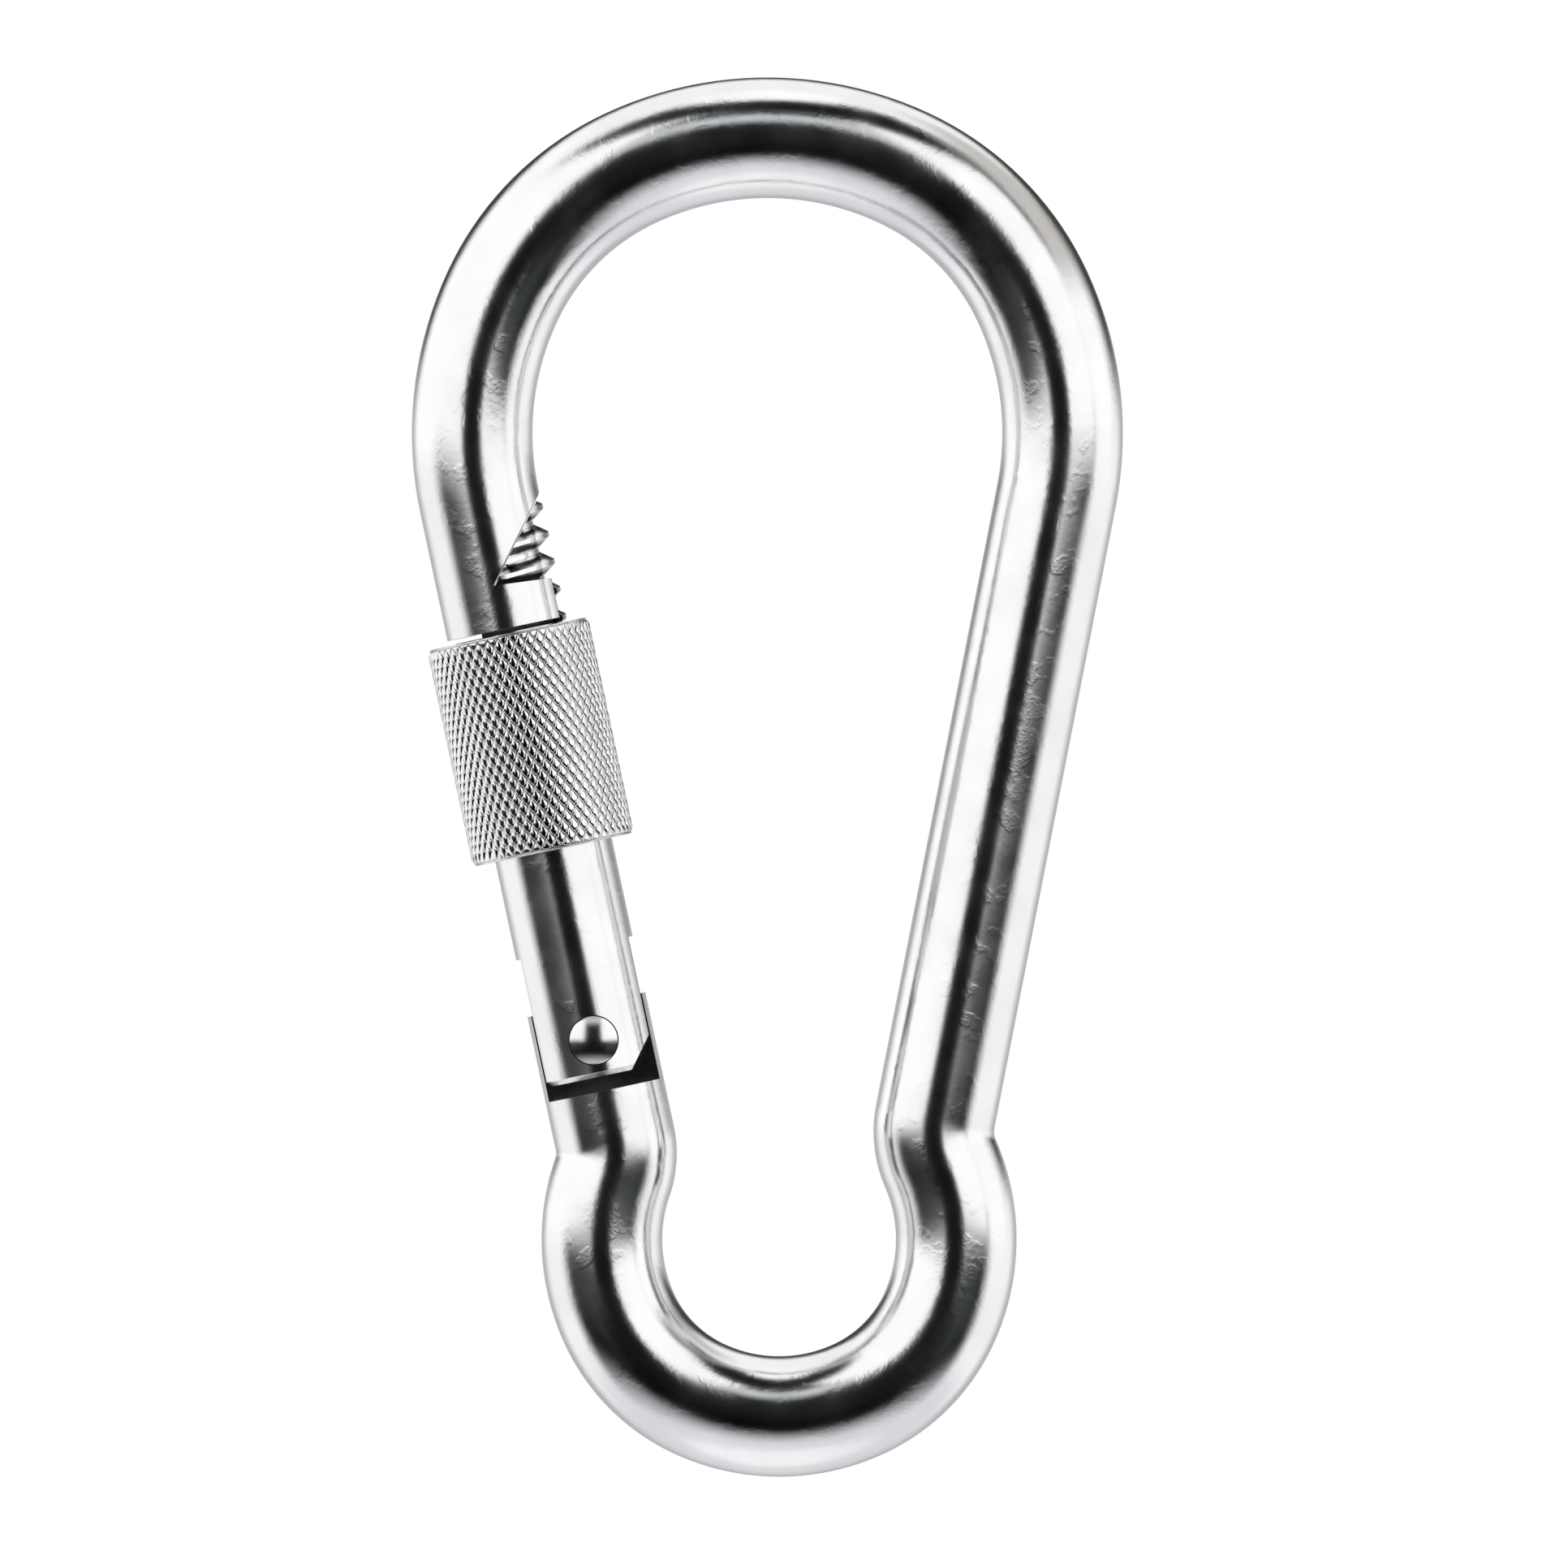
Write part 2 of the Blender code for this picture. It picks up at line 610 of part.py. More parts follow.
def build_gate_spring(hinge) -> None:
    """Compression spring between the plunger and the end of its bore."""
    low = SPRING_LOW + SPRING_WIRE_DIAMETER / 2
    high = SPRING_HIGH - SPRING_WIRE_DIAMETER / 2
    radius = (SPRING_OUTER_DIAMETER - SPRING_WIRE_DIAMETER) / 2
    count = SPRING_CURLS * CURL_POINTS
    route = []
    for step in range(count + 1):
        turn = 2 * math.pi * step / CURL_POINTS
        height = low + (high - low) * step / count
        route.append(Vector((radius * math.cos(turn), radius * math.sin(turn), height)))
    spring = tube("gate_spring", route, SPRING_WIRE_DIAMETER, 1, hinge)
    print(f"gate_spring least gap to itself: {least_gap_to_itself(route, SPRING_WIRE_DIAMETER) * 1000:.3f} mm")
    finish(spring, (0.45, 0.45, 0.46), 0.30, 1.0)


def main() -> None:
    """Build the hook and hang the gate's pieces on the hinge."""
    clear_scene()
    up = heading(math.pi / 2 + GATE_SIDE_TILT)
    pivot = bow_point(math.pi + GATE_SIDE_TILT) - up * PIVOT_BELOW_BOW
    hinge = add_object("hinge_axis", None)
    hinge.location = pivot
    hinge.rotation_euler = (0.0, -GATE_SIDE_TILT, 0.0)
    build_hook_body(pivot, up, hinge)
    build_gate(hinge)
    build_hinge_rivet(hinge)
    build_locking_sleeve(hinge)
    build_friction_ring(hinge)
    build_spring_plunger(hinge)
    build_gate_spring(hinge)


main()
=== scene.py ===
"""Screw-lock snap hook for keys: the looks of its pieces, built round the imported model.

Units are metres. The hook lies in the XZ plane with the gate on the -X side. The gate's own pieces
are modelled along local +Z, with the hinge pivot at zero and local +X towards the inside of the
hook, and are then set in place by the hinge's matrix.
"""

import logging
import math
from dataclasses import dataclass, field
from enum import Enum

import bmesh
import bpy
from bmesh.types import BMEdge, BMesh, BMVert
from mathutils import Matrix, Vector


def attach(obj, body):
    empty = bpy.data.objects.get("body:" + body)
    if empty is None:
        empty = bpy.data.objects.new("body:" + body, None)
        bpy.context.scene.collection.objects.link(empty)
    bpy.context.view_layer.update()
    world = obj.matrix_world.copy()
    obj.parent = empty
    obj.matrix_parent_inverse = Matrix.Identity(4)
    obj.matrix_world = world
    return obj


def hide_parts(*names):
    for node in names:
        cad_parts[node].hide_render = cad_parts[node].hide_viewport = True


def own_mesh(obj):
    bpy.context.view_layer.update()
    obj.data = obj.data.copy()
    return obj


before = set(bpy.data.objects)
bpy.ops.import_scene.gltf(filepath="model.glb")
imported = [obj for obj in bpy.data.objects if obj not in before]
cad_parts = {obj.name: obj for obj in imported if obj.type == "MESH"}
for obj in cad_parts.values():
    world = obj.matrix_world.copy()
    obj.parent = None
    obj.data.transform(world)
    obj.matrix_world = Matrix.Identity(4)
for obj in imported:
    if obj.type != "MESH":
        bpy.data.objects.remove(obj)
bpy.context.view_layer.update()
LOG = logging.getLogger("snap_hook")

Piece = bpy.types.Object
Material = bpy.types.Material
Socket = bpy.types.NodeSocket
Colour = tuple[float, float, float]
Feed = Socket | Vector | float | tuple[float, ...]
Point = tuple[float, float]
Profile = list[Point]

MERGE_DISTANCE = 1e-7
SEAM_DISTANCE = 4e-7
FULL_TURN = 2 * math.pi
QUARTER = math.pi / 2
SHARP_ANGLE = math.radians(32.0)
ORIGIN = (0.0, 0.0, 0.0)


class Body(Enum):
    """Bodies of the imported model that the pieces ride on."""

    HOOK = "hook"
    GATE = "gate"
    CARRIER = "sleeve_carrier"
    SLEEVE = "sleeve"
    PLUNGER = "plunger"


class Cut(Enum):
    """Ways in which one shape works on another."""

    REMOVE = "DIFFERENCE"
    JOIN = "UNION"
    TRIM = "INTERSECT"


# ---- Workshop moves that the pieces share ----


def heading(angle: float) -> Vector:
    """Unit vector in the hook's plane, at an angle up from +X."""
    return Vector((math.cos(angle), 0.0, math.sin(angle)))


def across() -> Matrix:
    """Turn a shape about local Z into one about the hinge axis, local Y."""
    return Matrix.Rotation(QUARTER, 4, "X")


def spun(shape: BMesh, steps: int, angle: float = FULL_TURN, rise: float = 0.0) -> BMesh:
    """Spin all of an open shape about local Z and merge what meets.

    Args:
        shape: the points and edges to spin.
        steps: steps of the spin.
        angle: angle of the whole spin.
        rise: rise of each step.

    Returns:
        The same shape.
    """
    bmesh.ops.spin(
        shape,
        geom=[*shape.verts, *shape.edges],
        cent=ORIGIN,
        axis=(0.0, 0.0, 1.0),
        dvec=(0.0, 0.0, rise),
        angle=angle,
        steps=steps,
        use_merge=angle == FULL_TURN,
    )
    bmesh.ops.remove_doubles(shape, verts=shape.verts, dist=MERGE_DISTANCE)
    return shape


def turned(profile: Profile, segments: int) -> BMesh:
    """Spin a closed outline about local Z.

    Args:
        profile: (radius, height) points, in order round the outline.
        segments: steps of the full turn.

    Returns:
        The closed, turned shape.
    """
    shape = bmesh.new()
    points = [shape.verts.new((radius, 0.0, height)) for radius, height in profile]
    for pair in zip(points, points[1:] + points[:1]):
        if any(point.co.x > 0 for point in pair):
            shape.edges.new(pair)
    return spun(shape, segments)


def coiled(tube: float, sides: int, start: Point, steps: int, *sweep: float) -> BMesh:
    """Sweep a round section about local Z into a ring or a coil.

    Args:
        tube: radius of the section.
        sides: corners of the section.
        start: (radius, height) of its centre.
        steps: steps of the spin.
        sweep: angle of the spin and rise of each step, for a coil.

    Returns:
        The closed ring or the coil with open ends.
    """
    shape = bmesh.new()
    bmesh.ops.create_circle(shape, segments=sides, radius=tube)
    seat = Matrix.Translation((start[0], 0.0, start[1])) @ across()
    bmesh.ops.transform(shape, matrix=seat, verts=shape.verts)
    return spun(shape, steps, *sweep)


def block(low: Point, high: Point) -> Profile:
    """Outline of a rectangle between two corners."""
    return [low, (high[0], low[1]), high, (low[0], high[1])]


def rod(radius: float, low: float, high: float) -> BMesh:
    """Plain round rod about local Z, between two heights, used as a drill."""
    return turned(block((0.0, low), (radius, high)), 64)


def cross_rod(radius: float, low: float, high: float, turn: float = 0.0) -> BMesh:
    """Plain round rod along the hinge axis, with its facets turned about it, used as a drill."""
    shape, lay = rod(radius, low, high), across() @ Matrix.Rotation(turn, 4, "Z")
    bmesh.ops.transform(shape, matrix=lay, verts=shape.verts)
    return shape


def prism(outline: Profile, low: float, high: float) -> BMesh:
    """Extrude an outline of local (x, z) points along Y, used as a milling cutter.

    Args:
        outline: (x, z) points, in order round the outline.
        low: Y of the near end.
        high: Y of the far end.

    Returns:
        The closed prism.
    """
    shape = bmesh.new()
    base = shape.faces.new([shape.verts.new((x, low, z)) for x, z in outline])
    grown = bmesh.ops.extrude_face_region(shape, geom=[base])["geom"]
    moved = [item for item in grown if isinstance(item, BMVert)]
    bmesh.ops.translate(shape, verts=moved, vec=(0.0, high - low, 0.0))
    return shape


def placed(shape: BMesh, name: str, place: Matrix) -> Piece:
    """Make a shape an object at the origin, with its place in its mesh.

    Args:
        shape: the shape, which is used up.
        name: name of the object.
        place: matrix from the shape's own space to the hook's.

    Returns:
        The linked object.
    """
    bmesh.ops.transform(shape, matrix=place, verts=shape.verts)
    bmesh.ops.recalc_face_normals(shape, faces=shape.faces)
    mesh = bpy.data.meshes.new(name)
    shape.to_mesh(mesh)
    shape.free()
    piece = bpy.data.objects.new(name, mesh)
    bpy.context.scene.collection.objects.link(piece)
    return piece


def work(piece: Piece, cut: Cut, tools: list[BMesh], place: Matrix) -> None:
    """Cut, join or trim a piece with tool shapes, and keep the result in its mesh.

    Args:
        piece: the object to work on.
        cut: what the tools do to it.
        tools: tool shapes, which are used up.
        place: matrix from the tools' own space to the hook's.
    """
    helpers = [placed(tool, piece.name + "_tool", place) for tool in tools]
    for helper in helpers:
        boolean = piece.modifiers.new(helper.name, "BOOLEAN")
        boolean.operation, boolean.solver, boolean.object = cut.value, "EXACT", helper
    graph = bpy.context.evaluated_depsgraph_get()
    rough = piece.data
    piece.data = bpy.data.meshes.new_from_object(piece.evaluated_get(graph))
    piece.modifiers.clear()
    bpy.data.meshes.remove(rough)
    piece.data.name = piece.name
    for helper in helpers:
        mesh = helper.data
        bpy.data.objects.remove(helper, do_unlink=True)
        bpy.data.meshes.remove(mesh)


def enlist(piece: Piece, body: Body, finish: Material, angle: float = SHARP_ANGLE) -> None:
    """Close a piece's seams, shade and dress it, and seat it in place of the node of its name.

    Args:
        piece: the finished piece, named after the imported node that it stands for.
        body: the body that it rides on.
        finish: its material.
        angle: edges sharper than this stay sharp.
    """
    shape = bmesh.new()
    shape.from_mesh(piece.data)
    bmesh.ops.remove_doubles(shape, verts=shape.verts, dist=SEAM_DISTANCE)
    bmesh.ops.dissolve_degenerate(shape, dist=SEAM_DISTANCE, edges=shape.edges)
    for face in shape.faces:
        face.smooth = True
    for edge in shape.edges:
        edge.smooth = edge.is_manifold and edge.calc_face_angle() < angle
    loose = sum(not edge.is_manifold for edge in shape.edges)
    if loose:
        LOG.warning("%s: %d edges are not closed", piece.name, loose)
    shape.to_mesh(piece.data)
    shape.free()
    node = piece.name.removesuffix("_dressed")
    piece.data.materials.clear()
    piece.data.materials.append(finish)
    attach(piece, body.value)
    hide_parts(node)
    LOG.info("%s: %d faces, rides on %s", node, len(piece.data.polygons), body.value)


# ---- Finishes ----


class NodeBench:
    """Lays out and joins the nodes of one material, or of the world."""

    def __init__(self, owner: Material | bpy.types.World) -> None:
        """Start from an empty bench.

        Args:
            owner: the new material or world.
        """
        owner.use_nodes = True
        self.owner, self.tree = owner, owner.node_tree
        self.tree.nodes.clear()
        kind = "World" if isinstance(owner, bpy.types.World) else "Material"
        self.output = self.add("Output" + kind)

    def add(
        self, kind: str, inputs: dict[str | int, Feed] | None = None, **settings: str
    ) -> bpy.types.Node:
        """Add a node.

        Args:
            kind: node type without its ShaderNode prefix.
            inputs: socket name or number to a value, or to a socket that feeds it.
            settings: the node's own properties.

        Returns:
            The new node.
        """
        node = self.tree.nodes.new("ShaderNode" + kind)
        for key, value in settings.items():
            setattr(node, key, value)
        for key, value in (inputs or {}).items():
            if isinstance(value, Socket):
                self.tree.links.new(value, node.inputs[key])
            else:
                node.inputs[key].default_value = value
        return node

    def place(self) -> Socket:
        """Give the place on the object."""
        return self.add("TexCoord").outputs["Object"]

    def noise(self, place: Socket, scale: float, detail: float = 2.0, **more: Feed) -> Socket:
        """Add a noise texture at a place and return its value."""
        inputs = {"Vector": place, "Scale": scale, "Detail": detail, **more}
        return self.add("TexNoise", inputs).outputs[0]

    def bump(self, height: Socket, depth: float, strength: float = 1.0, **more: Feed) -> Socket:
        """Add a relief of some depth and return its normal."""
        inputs = {"Strength": strength, "Distance": depth, "Height": height, **more}
        return self.add("Bump", inputs).outputs[0]

    def math(self, operation: str, *values: Feed) -> Socket:
        """Add a Math node on these values and return its result."""
        return self.add("Math", dict(enumerate(values)), operation=operation).outputs[0]

    def vector(self, operation: str, *values: Feed) -> Socket:
        """Add a Vector Math node on these values and return its result."""
        node = self.add("VectorMath", dict(enumerate(values)), operation=operation)
        return node.outputs["Value" if operation in ("DOT_PRODUCT", "LENGTH") else "Vector"]

    def between(
        self, value: Socket, low: float, high: float, start: float = 0.0, end: float = 1.0
    ) -> Socket:
        """Map a value smoothly, and clamped, from low and high to start and end."""
        node = self.add(
            "MapRange",
            {"Value": value, "From Min": low, "From Max": high, "To Min": start, "To Max": end},
            interpolation_type="SMOOTHSTEP",
        )
        return node.outputs["Result"]

    def blend(self, share: Socket, first: Colour | Socket, second: Colour | Socket) -> Socket:
        """Mix two colours, or sockets with colours, by the second one's share."""
        sides = [(*side, 1.0) if isinstance(side, tuple) else side for side in (first, second)]
        return self.add("Mix", {0: share, 6: sides[0], 7: sides[1]}, data_type="RGBA").outputs[2]

    def show(self, shader: bpy.types.Node) -> Material | bpy.types.World:
        """Send a shader to the surface and return the finished owner."""
        self.tree.links.new(shader.outputs[0], self.output.inputs["Surface"])
        return self.owner

    def surface(self, colour: Socket, **inputs: Feed) -> Material:
        """Finish a material with a principled surface and return it."""
        return self.show(self.add("BsdfPrincipled", {"Base Color": colour, **inputs}))


@dataclass(frozen=True)
class ThreadRoots:
    """Roots of a thread or knurl, where painted shade darkens the recesses.

    What lies deeper than the roots, or below the height where they start, gets no painted shade.
    """

    foot: Vector
    axis: Vector
    deep: float
    shade_end: float
    starts: float
    fade: float = 0.0001

    def clean(self, bench: NodeBench, place: Socket) -> Socket:
        """Tell the crests from the roots, which get painted shade.

        Args:
            bench: the material's bench.
            place: socket with the place on the piece.

        Returns:
            Share left free of painted shade, from 0 in the roots to 1 on the crests.
        """
        arm = bench.vector("SUBTRACT", place, self.foot)
        along = bench.vector("DOT_PRODUCT", arm, self.axis)
        radius = bench.vector("LENGTH", bench.vector("CROSS_PRODUCT", arm, self.axis))
        unshaded = bench.between(radius, self.deep, self.shade_end)
        inside = bench.between(radius, self.deep - 2 * self.fade, self.deep - self.fade, 1.0, 0.0)
        below = bench.between(along, self.starts, self.starts + self.fade, 1.0, 0.0)
        return bench.math("MAXIMUM", unshaded, bench.math("MAXIMUM", inside, below))


@dataclass(frozen=True)
class ChromeFinish:
    """Polished plating over steel, with the fine peel and the pressing flecks left under it."""

    name: str
    bright: Colour = (0.90, 0.90, 0.91)
    dull: Colour = (0.86, 0.86, 0.87)
    roughness: tuple[float, float] = (0.14, 0.19)
    cloud_scale: float = 320.0
    peel_size: float = 0.0004
    peel_depth: float = 0.0000022
    fleck_size: float = 0.00017
    fleck_depth: float = 0.000006
    fleck_share: float = 0.53
    patch_scale: float = 700.0
    # Colour of the painted shade in the roots of a thread or knurl.
    root_shade_colour: Colour = (0.05, 0.05, 0.055)
    roots: ThreadRoots | None = None

    def material(self) -> Material:
        """Build the plating's nodes.

        Returns:
            The material.
        """
        bench = NodeBench(bpy.data.materials.new(self.name))
        place = bench.place()
        clouds = bench.noise(place, self.cloud_scale, 3.0)
        peel = bench.noise(place, 1 / self.peel_size)
        flecks = bench.noise(place, 1 / self.fleck_size, 3.0, Roughness=0.6)
        patches = bench.noise(place, self.patch_scale)
        marked = bench.between(patches, self.fleck_share - 0.04, self.fleck_share + 0.06)
        skin = bench.bump(peel, self.peel_depth)
        relief = bench.bump(bench.math("MULTIPLY", flecks, marked), self.fleck_depth, Normal=skin)
        plating = bench.blend(bench.between(clouds, 0.3, 0.7), self.bright, self.dull)
        # Painted shade: the roots of a thread or knurl are darkened in the base colour.
        if self.roots:
            plating = bench.blend(self.roots.clean(bench, place), self.root_shade_colour, plating)
        rough = bench.between(clouds, 0.3, 0.75, *self.roughness)
        return bench.surface(plating, Metallic=1.0, Roughness=rough, Normal=relief)


@dataclass(frozen=True)
class RubberFinish:
    """Moulded black rubber with a dry bloom."""

    name: str
    dark: Colour = (0.018, 0.018, 0.019)
    bloom: Colour = (0.05, 0.05, 0.052)
    dust_scale: float = 1800.0
    grain_scale: float = 9000.0
    grain_depth: float = 0.000006

    def material(self) -> Material:
        """Build the rubber's nodes.

        Returns:
            The material.
        """
        bench = NodeBench(bpy.data.materials.new(self.name))
        place = bench.place()
        dust = bench.noise(place, self.dust_scale, 4.0)
        relief = bench.bump(bench.noise(place, self.grain_scale), self.grain_depth, 0.6)
        skin = bench.blend(bench.between(dust, 0.4, 0.75), self.dark, self.bloom)
        rough = bench.between(dust, 0.3, 0.8, 0.5, 0.75)
        return bench.surface(skin, Roughness=rough, Normal=relief)


@dataclass(frozen=True)
class DrawnSteelFinish:
    """Drawn or turned bare steel, with fine rings across its axis."""

    name: str
    axis: Vector
    bright: Colour = (0.60, 0.60, 0.61)
    dark: Colour = (0.38, 0.38, 0.39)
    ring_pitch: float = 0.00006
    ring_depth: float = 0.000003
    stain_scale: float = 900.0

    def material(self) -> Material:
        """Build the steel's nodes.

        Returns:
            The material.
        """
        bench = NodeBench(bpy.data.materials.new(self.name))
        place = bench.place()
        rings = bench.add(
            "TexNoise",
            {
                "W": bench.vector("DOT_PRODUCT", place, self.axis),
                "Scale": 1 / self.ring_pitch,
                "Detail": 2.0,
            },
            noise_dimensions="1D",
        )
        stain = bench.noise(place, self.stain_scale, 3.0)
        relief = bench.bump(rings.outputs[0], self.ring_depth, 0.7)
        steel = bench.blend(bench.between(stain, 0.35, 0.7), self.bright, self.dark)
        rough = bench.between(stain, 0.3, 0.75, 0.24, 0.38)
        return bench.surface(steel, Metallic=1.0, Roughness=rough, Normal=relief)


# ---- Sub-assemblies ----


@dataclass(frozen=True)
class Arc:
    """A bend of the bar in the hook's plane, from one angle about its centre to another."""

    centre: Vector
    start: float
    end: float


@dataclass(frozen=True)
class SquaredRing:
    """Centre line of a slightly squared ring: four flatter crowns joined by four shoulders."""

    centre: Vector
    half_width: float
    shoulder_radius: float
    crown_half_angle: float = math.radians(25.0)

    @property
    def crown_radius(self) -> float:
        """Radius of the flatter arcs, which keeps all eight arcs tangent."""
        share = math.cos(self.crown_half_angle) - math.sin(self.crown_half_angle)
        return (self.half_width - self.shoulder_radius * share) / (1 - share)

    def arc_at(self, angle: float) -> tuple[Vector, float]:
        """Find the arc that holds an angle.

        Args:
            angle: angle of the outward normal.

        Returns:
            The arc's centre and radius.
        """
        crown = round(angle / QUARTER) * QUARTER
        if abs(angle - crown) <= self.crown_half_angle:
            offset = self.half_width - self.crown_radius
            return self.centre + offset * heading(crown), self.crown_radius
        shoulder = (math.floor(angle / QUARTER) + 0.5) * QUARTER
        offset = (self.crown_radius - self.shoulder_radius) * math.sin(self.crown_half_angle)
        return self.centre + offset * math.sqrt(2) * heading(shoulder), self.shoulder_radius

    def point(self, angle: float) -> Vector:
        """Point of the ring whose outward normal stands at this angle."""
        centre, radius = self.arc_at(angle)
        return centre + radius * heading(angle)

    def arcs(self, start: float, end: float) -> list[Arc]:
        """Split a sweep of the ring into its arcs.

        Args:
            start: angle to start from.
            end: angle to sweep down to.

        Returns:
            The arcs, in order.
        """
        bounds = [
            turn * QUARTER + side * self.crown_half_angle
            for turn in range(-8, 9)
            for side in (-1, 1)
        ]
        stops = [start, *sorted((b for b in bounds if end < b < start), reverse=True), end]
        return [Arc(self.arc_at((a + b) / 2)[0], a, b) for a, b in zip(stops, stops[1:])]


@dataclass
class HingePlace:
    """Where the gate hangs on the hook: its pivot and its lean."""

    bow: SquaredRing
    tilt: float = math.radians(12.0)
    below_bow: float = 0.03154

    @property
    def up(self) -> Vector:
        """Direction up the closed gate."""
        return heading(QUARTER + self.tilt)

    @property
    def pivot(self) -> Vector:
        """Centre of the hinge."""
        return self.bow.point(math.pi + self.tilt) - self.up * self.below_bow

    @property
    def matrix(self) -> Matrix:
        """From the gate's own space to the hook's."""
        return Matrix.Translation(self.pivot) @ Matrix.Rotation(-self.tilt, 4, "Y")


@dataclass
class ScrewThread:
    """The thread that the gate, its latch head and the sleeve share."""

    pitch: float = 0.0016
    crest_radius: float = 0.0035
    root_radius: float = 0.00275
    flat: float = 0.00025
    crest_height: float = 0.01286
    steps: int = 72

    def shape(
        self, low: float, high: float, grow_radius: float = 0.0, grow_flank: float = 0.0
    ) -> BMesh:
        """Cut a length of thread about local Z, with closed ends.

        Args:
            low: height that the thread starts below.
            high: height that the thread ends above.
            grow_radius: radial clearance, where the thread is a tap.
            grow_flank: flank clearance, where the thread is a tap.

        Returns:
            The closed threaded rod.
        """
        root, crest = self.root_radius + grow_radius, self.crest_radius + grow_radius
        flank = (self.pitch - 2 * self.flat) / 2
        half = self.flat / 2 + grow_flank
        first = math.floor((low - self.crest_height) / self.pitch) - 2
        turns = math.ceil((high - low) / self.pitch) + 4
        base = self.crest_height + first * self.pitch
        profile = [
            (root, base - half - flank),
            (crest, base - half),
            (crest, base + half),
            (root, base + half + flank),
            (root, base - half - flank + self.pitch),
        ]
        shape = bmesh.new()
        points = [shape.verts.new((radius, 0.0, height)) for radius, height in profile]
        for pair in zip(points, points[1:]):
            shape.edges.new(pair)
        spun(shape, self.steps * turns, FULL_TURN * turns, self.pitch / self.steps)
        middle = base + turns * self.pitch / 2
        for end in (base, base + turns * self.pitch):
            rim = [
                edge
                for edge in shape.edges
                if edge.is_boundary and (edge.verts[0].co.z - middle) * (end - middle) > 0
            ]
            fan = bmesh.ops.extrude_edge_only(shape, edges=rim)["geom"]
            tips = [item for item in fan if isinstance(item, BMVert)]
            bmesh.ops.pointmerge(shape, verts=tips, merge_co=(0.0, 0.0, end))
        return shape


@dataclass
class HookBody:
    """The bent bar: nose, bow, spine leg, necked loop and hinge tang."""

    bow: SquaredRing
    loop: SquaredRing
    hinge: HingePlace
    finish: ChromeFinish
    bar_radius: float = 0.00345
    spine_tilt: float = math.radians(11.05)
    gate_neck_radius: float = 0.0040
    spine_neck_radius: float = 0.0046
    nose_rim: float = 0.02403
    collar_top: float = 0.02655
    collar_slope: float = math.radians(4.0)
    notch_corner: float = -0.00023
    notch_angle: float = math.atan2(0.00368, 0.0047)
    slot_half: float = 0.0015
    slot_floor: float = -0.00175
    dish: float = 0.00044
    tang_half: float = 0.0012
    tang_rise: float = 0.00205
    shoulder_drop: float = 0.00295
    hole_radius: float = 0.0010
    around: int = 112
    bend_step: float = math.radians(2.25)
    saw_allowance: float = 0.0003
    slot_over: float = 0.00006
    drill_half: float = 0.006

    def neck_angle(
        self, leg: Vector, outward: Vector, radius: float, outer: float, inner: float
    ) -> float:
        """Find where on the loop a neck bend also touches a leg's line.

        Args:
            leg: a point of the leg's centre line.
            outward: unit vector square to the leg, away from the inside.
            radius: radius of the neck bend.
            outer: angle on the loop at which the bend lies outside the leg.
            inner: angle on the loop at which it lies inside.

        Returns:
            The angle on the loop.
        """
        for _ in range(60):
            middle = (outer + inner) / 2
            centre = self.loop.point(middle) + radius * heading(middle)
            if (centre - leg).dot(outward) > radius:
                outer = middle
            else:
                inner = middle
        return (outer + inner) / 2

    def route(self) -> list[Arc | Vector]:
        """Lay out the bar from its nose to the tang.

        Returns:
            The bends, and straight stretches as vectors, in order.
        """
        gate_angle, spine_angle = math.pi + self.hinge.tilt, -self.spine_tilt
        pivot, up = self.hinge.pivot, self.hinge.up
        spine_leg, spine_out = self.bow.point(spine_angle), heading(spine_angle)
        gate_out = heading(gate_angle)
        spine_neck, gate_neck = self.spine_neck_radius, self.gate_neck_radius
        spine = self.neck_angle(spine_leg, spine_out, spine_neck, -math.pi / 4, QUARTER)
        gate = self.neck_angle(pivot, gate_out, gate_neck, 1.25 * math.pi, QUARTER)
        spine_bend = self.loop.point(spine) + spine_neck * heading(spine)
        gate_bend = self.loop.point(gate) + gate_neck * heading(gate)
        spine_foot = spine_bend - spine_neck * spine_out
        gate_foot = gate_bend - gate_neck * gate_out
        return [
            self.bow.point(gate_angle) - pivot - up * self.nose_start,
            *self.bow.arcs(gate_angle, spine_angle),
            spine_foot - spine_leg,
            Arc(spine_bend, spine_angle + math.pi, spine + math.pi),
            *self.loop.arcs(spine, gate - FULL_TURN),
            Arc(gate_bend, gate - math.pi, gate_angle - math.pi),
            pivot + up * self.tang_rise - gate_foot,
        ]

    @property
    def nose_start(self) -> float:
        """Height at which the bar is sawn off before its nose is dished."""
        return self.nose_rim - self.saw_allowance

    def bar(self) -> BMesh:
        """Sweep the round bar along its route.

        Returns:
            The closed bar, in the hook's space.
        """
        shape = bmesh.new()
        ring = bmesh.ops.create_circle(shape, segments=self.around, radius=self.bar_radius)["verts"]
        lift = Matrix.Translation((0.0, 0.0, self.nose_start))
        bmesh.ops.transform(shape, matrix=self.hinge.matrix @ lift, verts=ring)
        front = [*shape.verts, *shape.edges]
        for stretch in self.route():
            if isinstance(stretch, Arc):
                angle = stretch.start - stretch.end
                steps = max(3, math.ceil(abs(angle) / self.bend_step))
                centre, step = stretch.centre, Vector()
            else:
                angle, steps, centre = 0.0, 4, Vector()
                step = stretch / steps
            front = bmesh.ops.spin(
                shape,
                geom=front,
                cent=centre,
                axis=(0.0, 1.0, 0.0),
                dvec=step,
                angle=angle,
                steps=steps,
            )["geom_last"]
        bmesh.ops.remove_doubles(shape, verts=shape.verts, dist=MERGE_DISTANCE)
        bmesh.ops.holes_fill(shape, edges=[edge for edge in shape.edges if edge.is_boundary])
        return shape

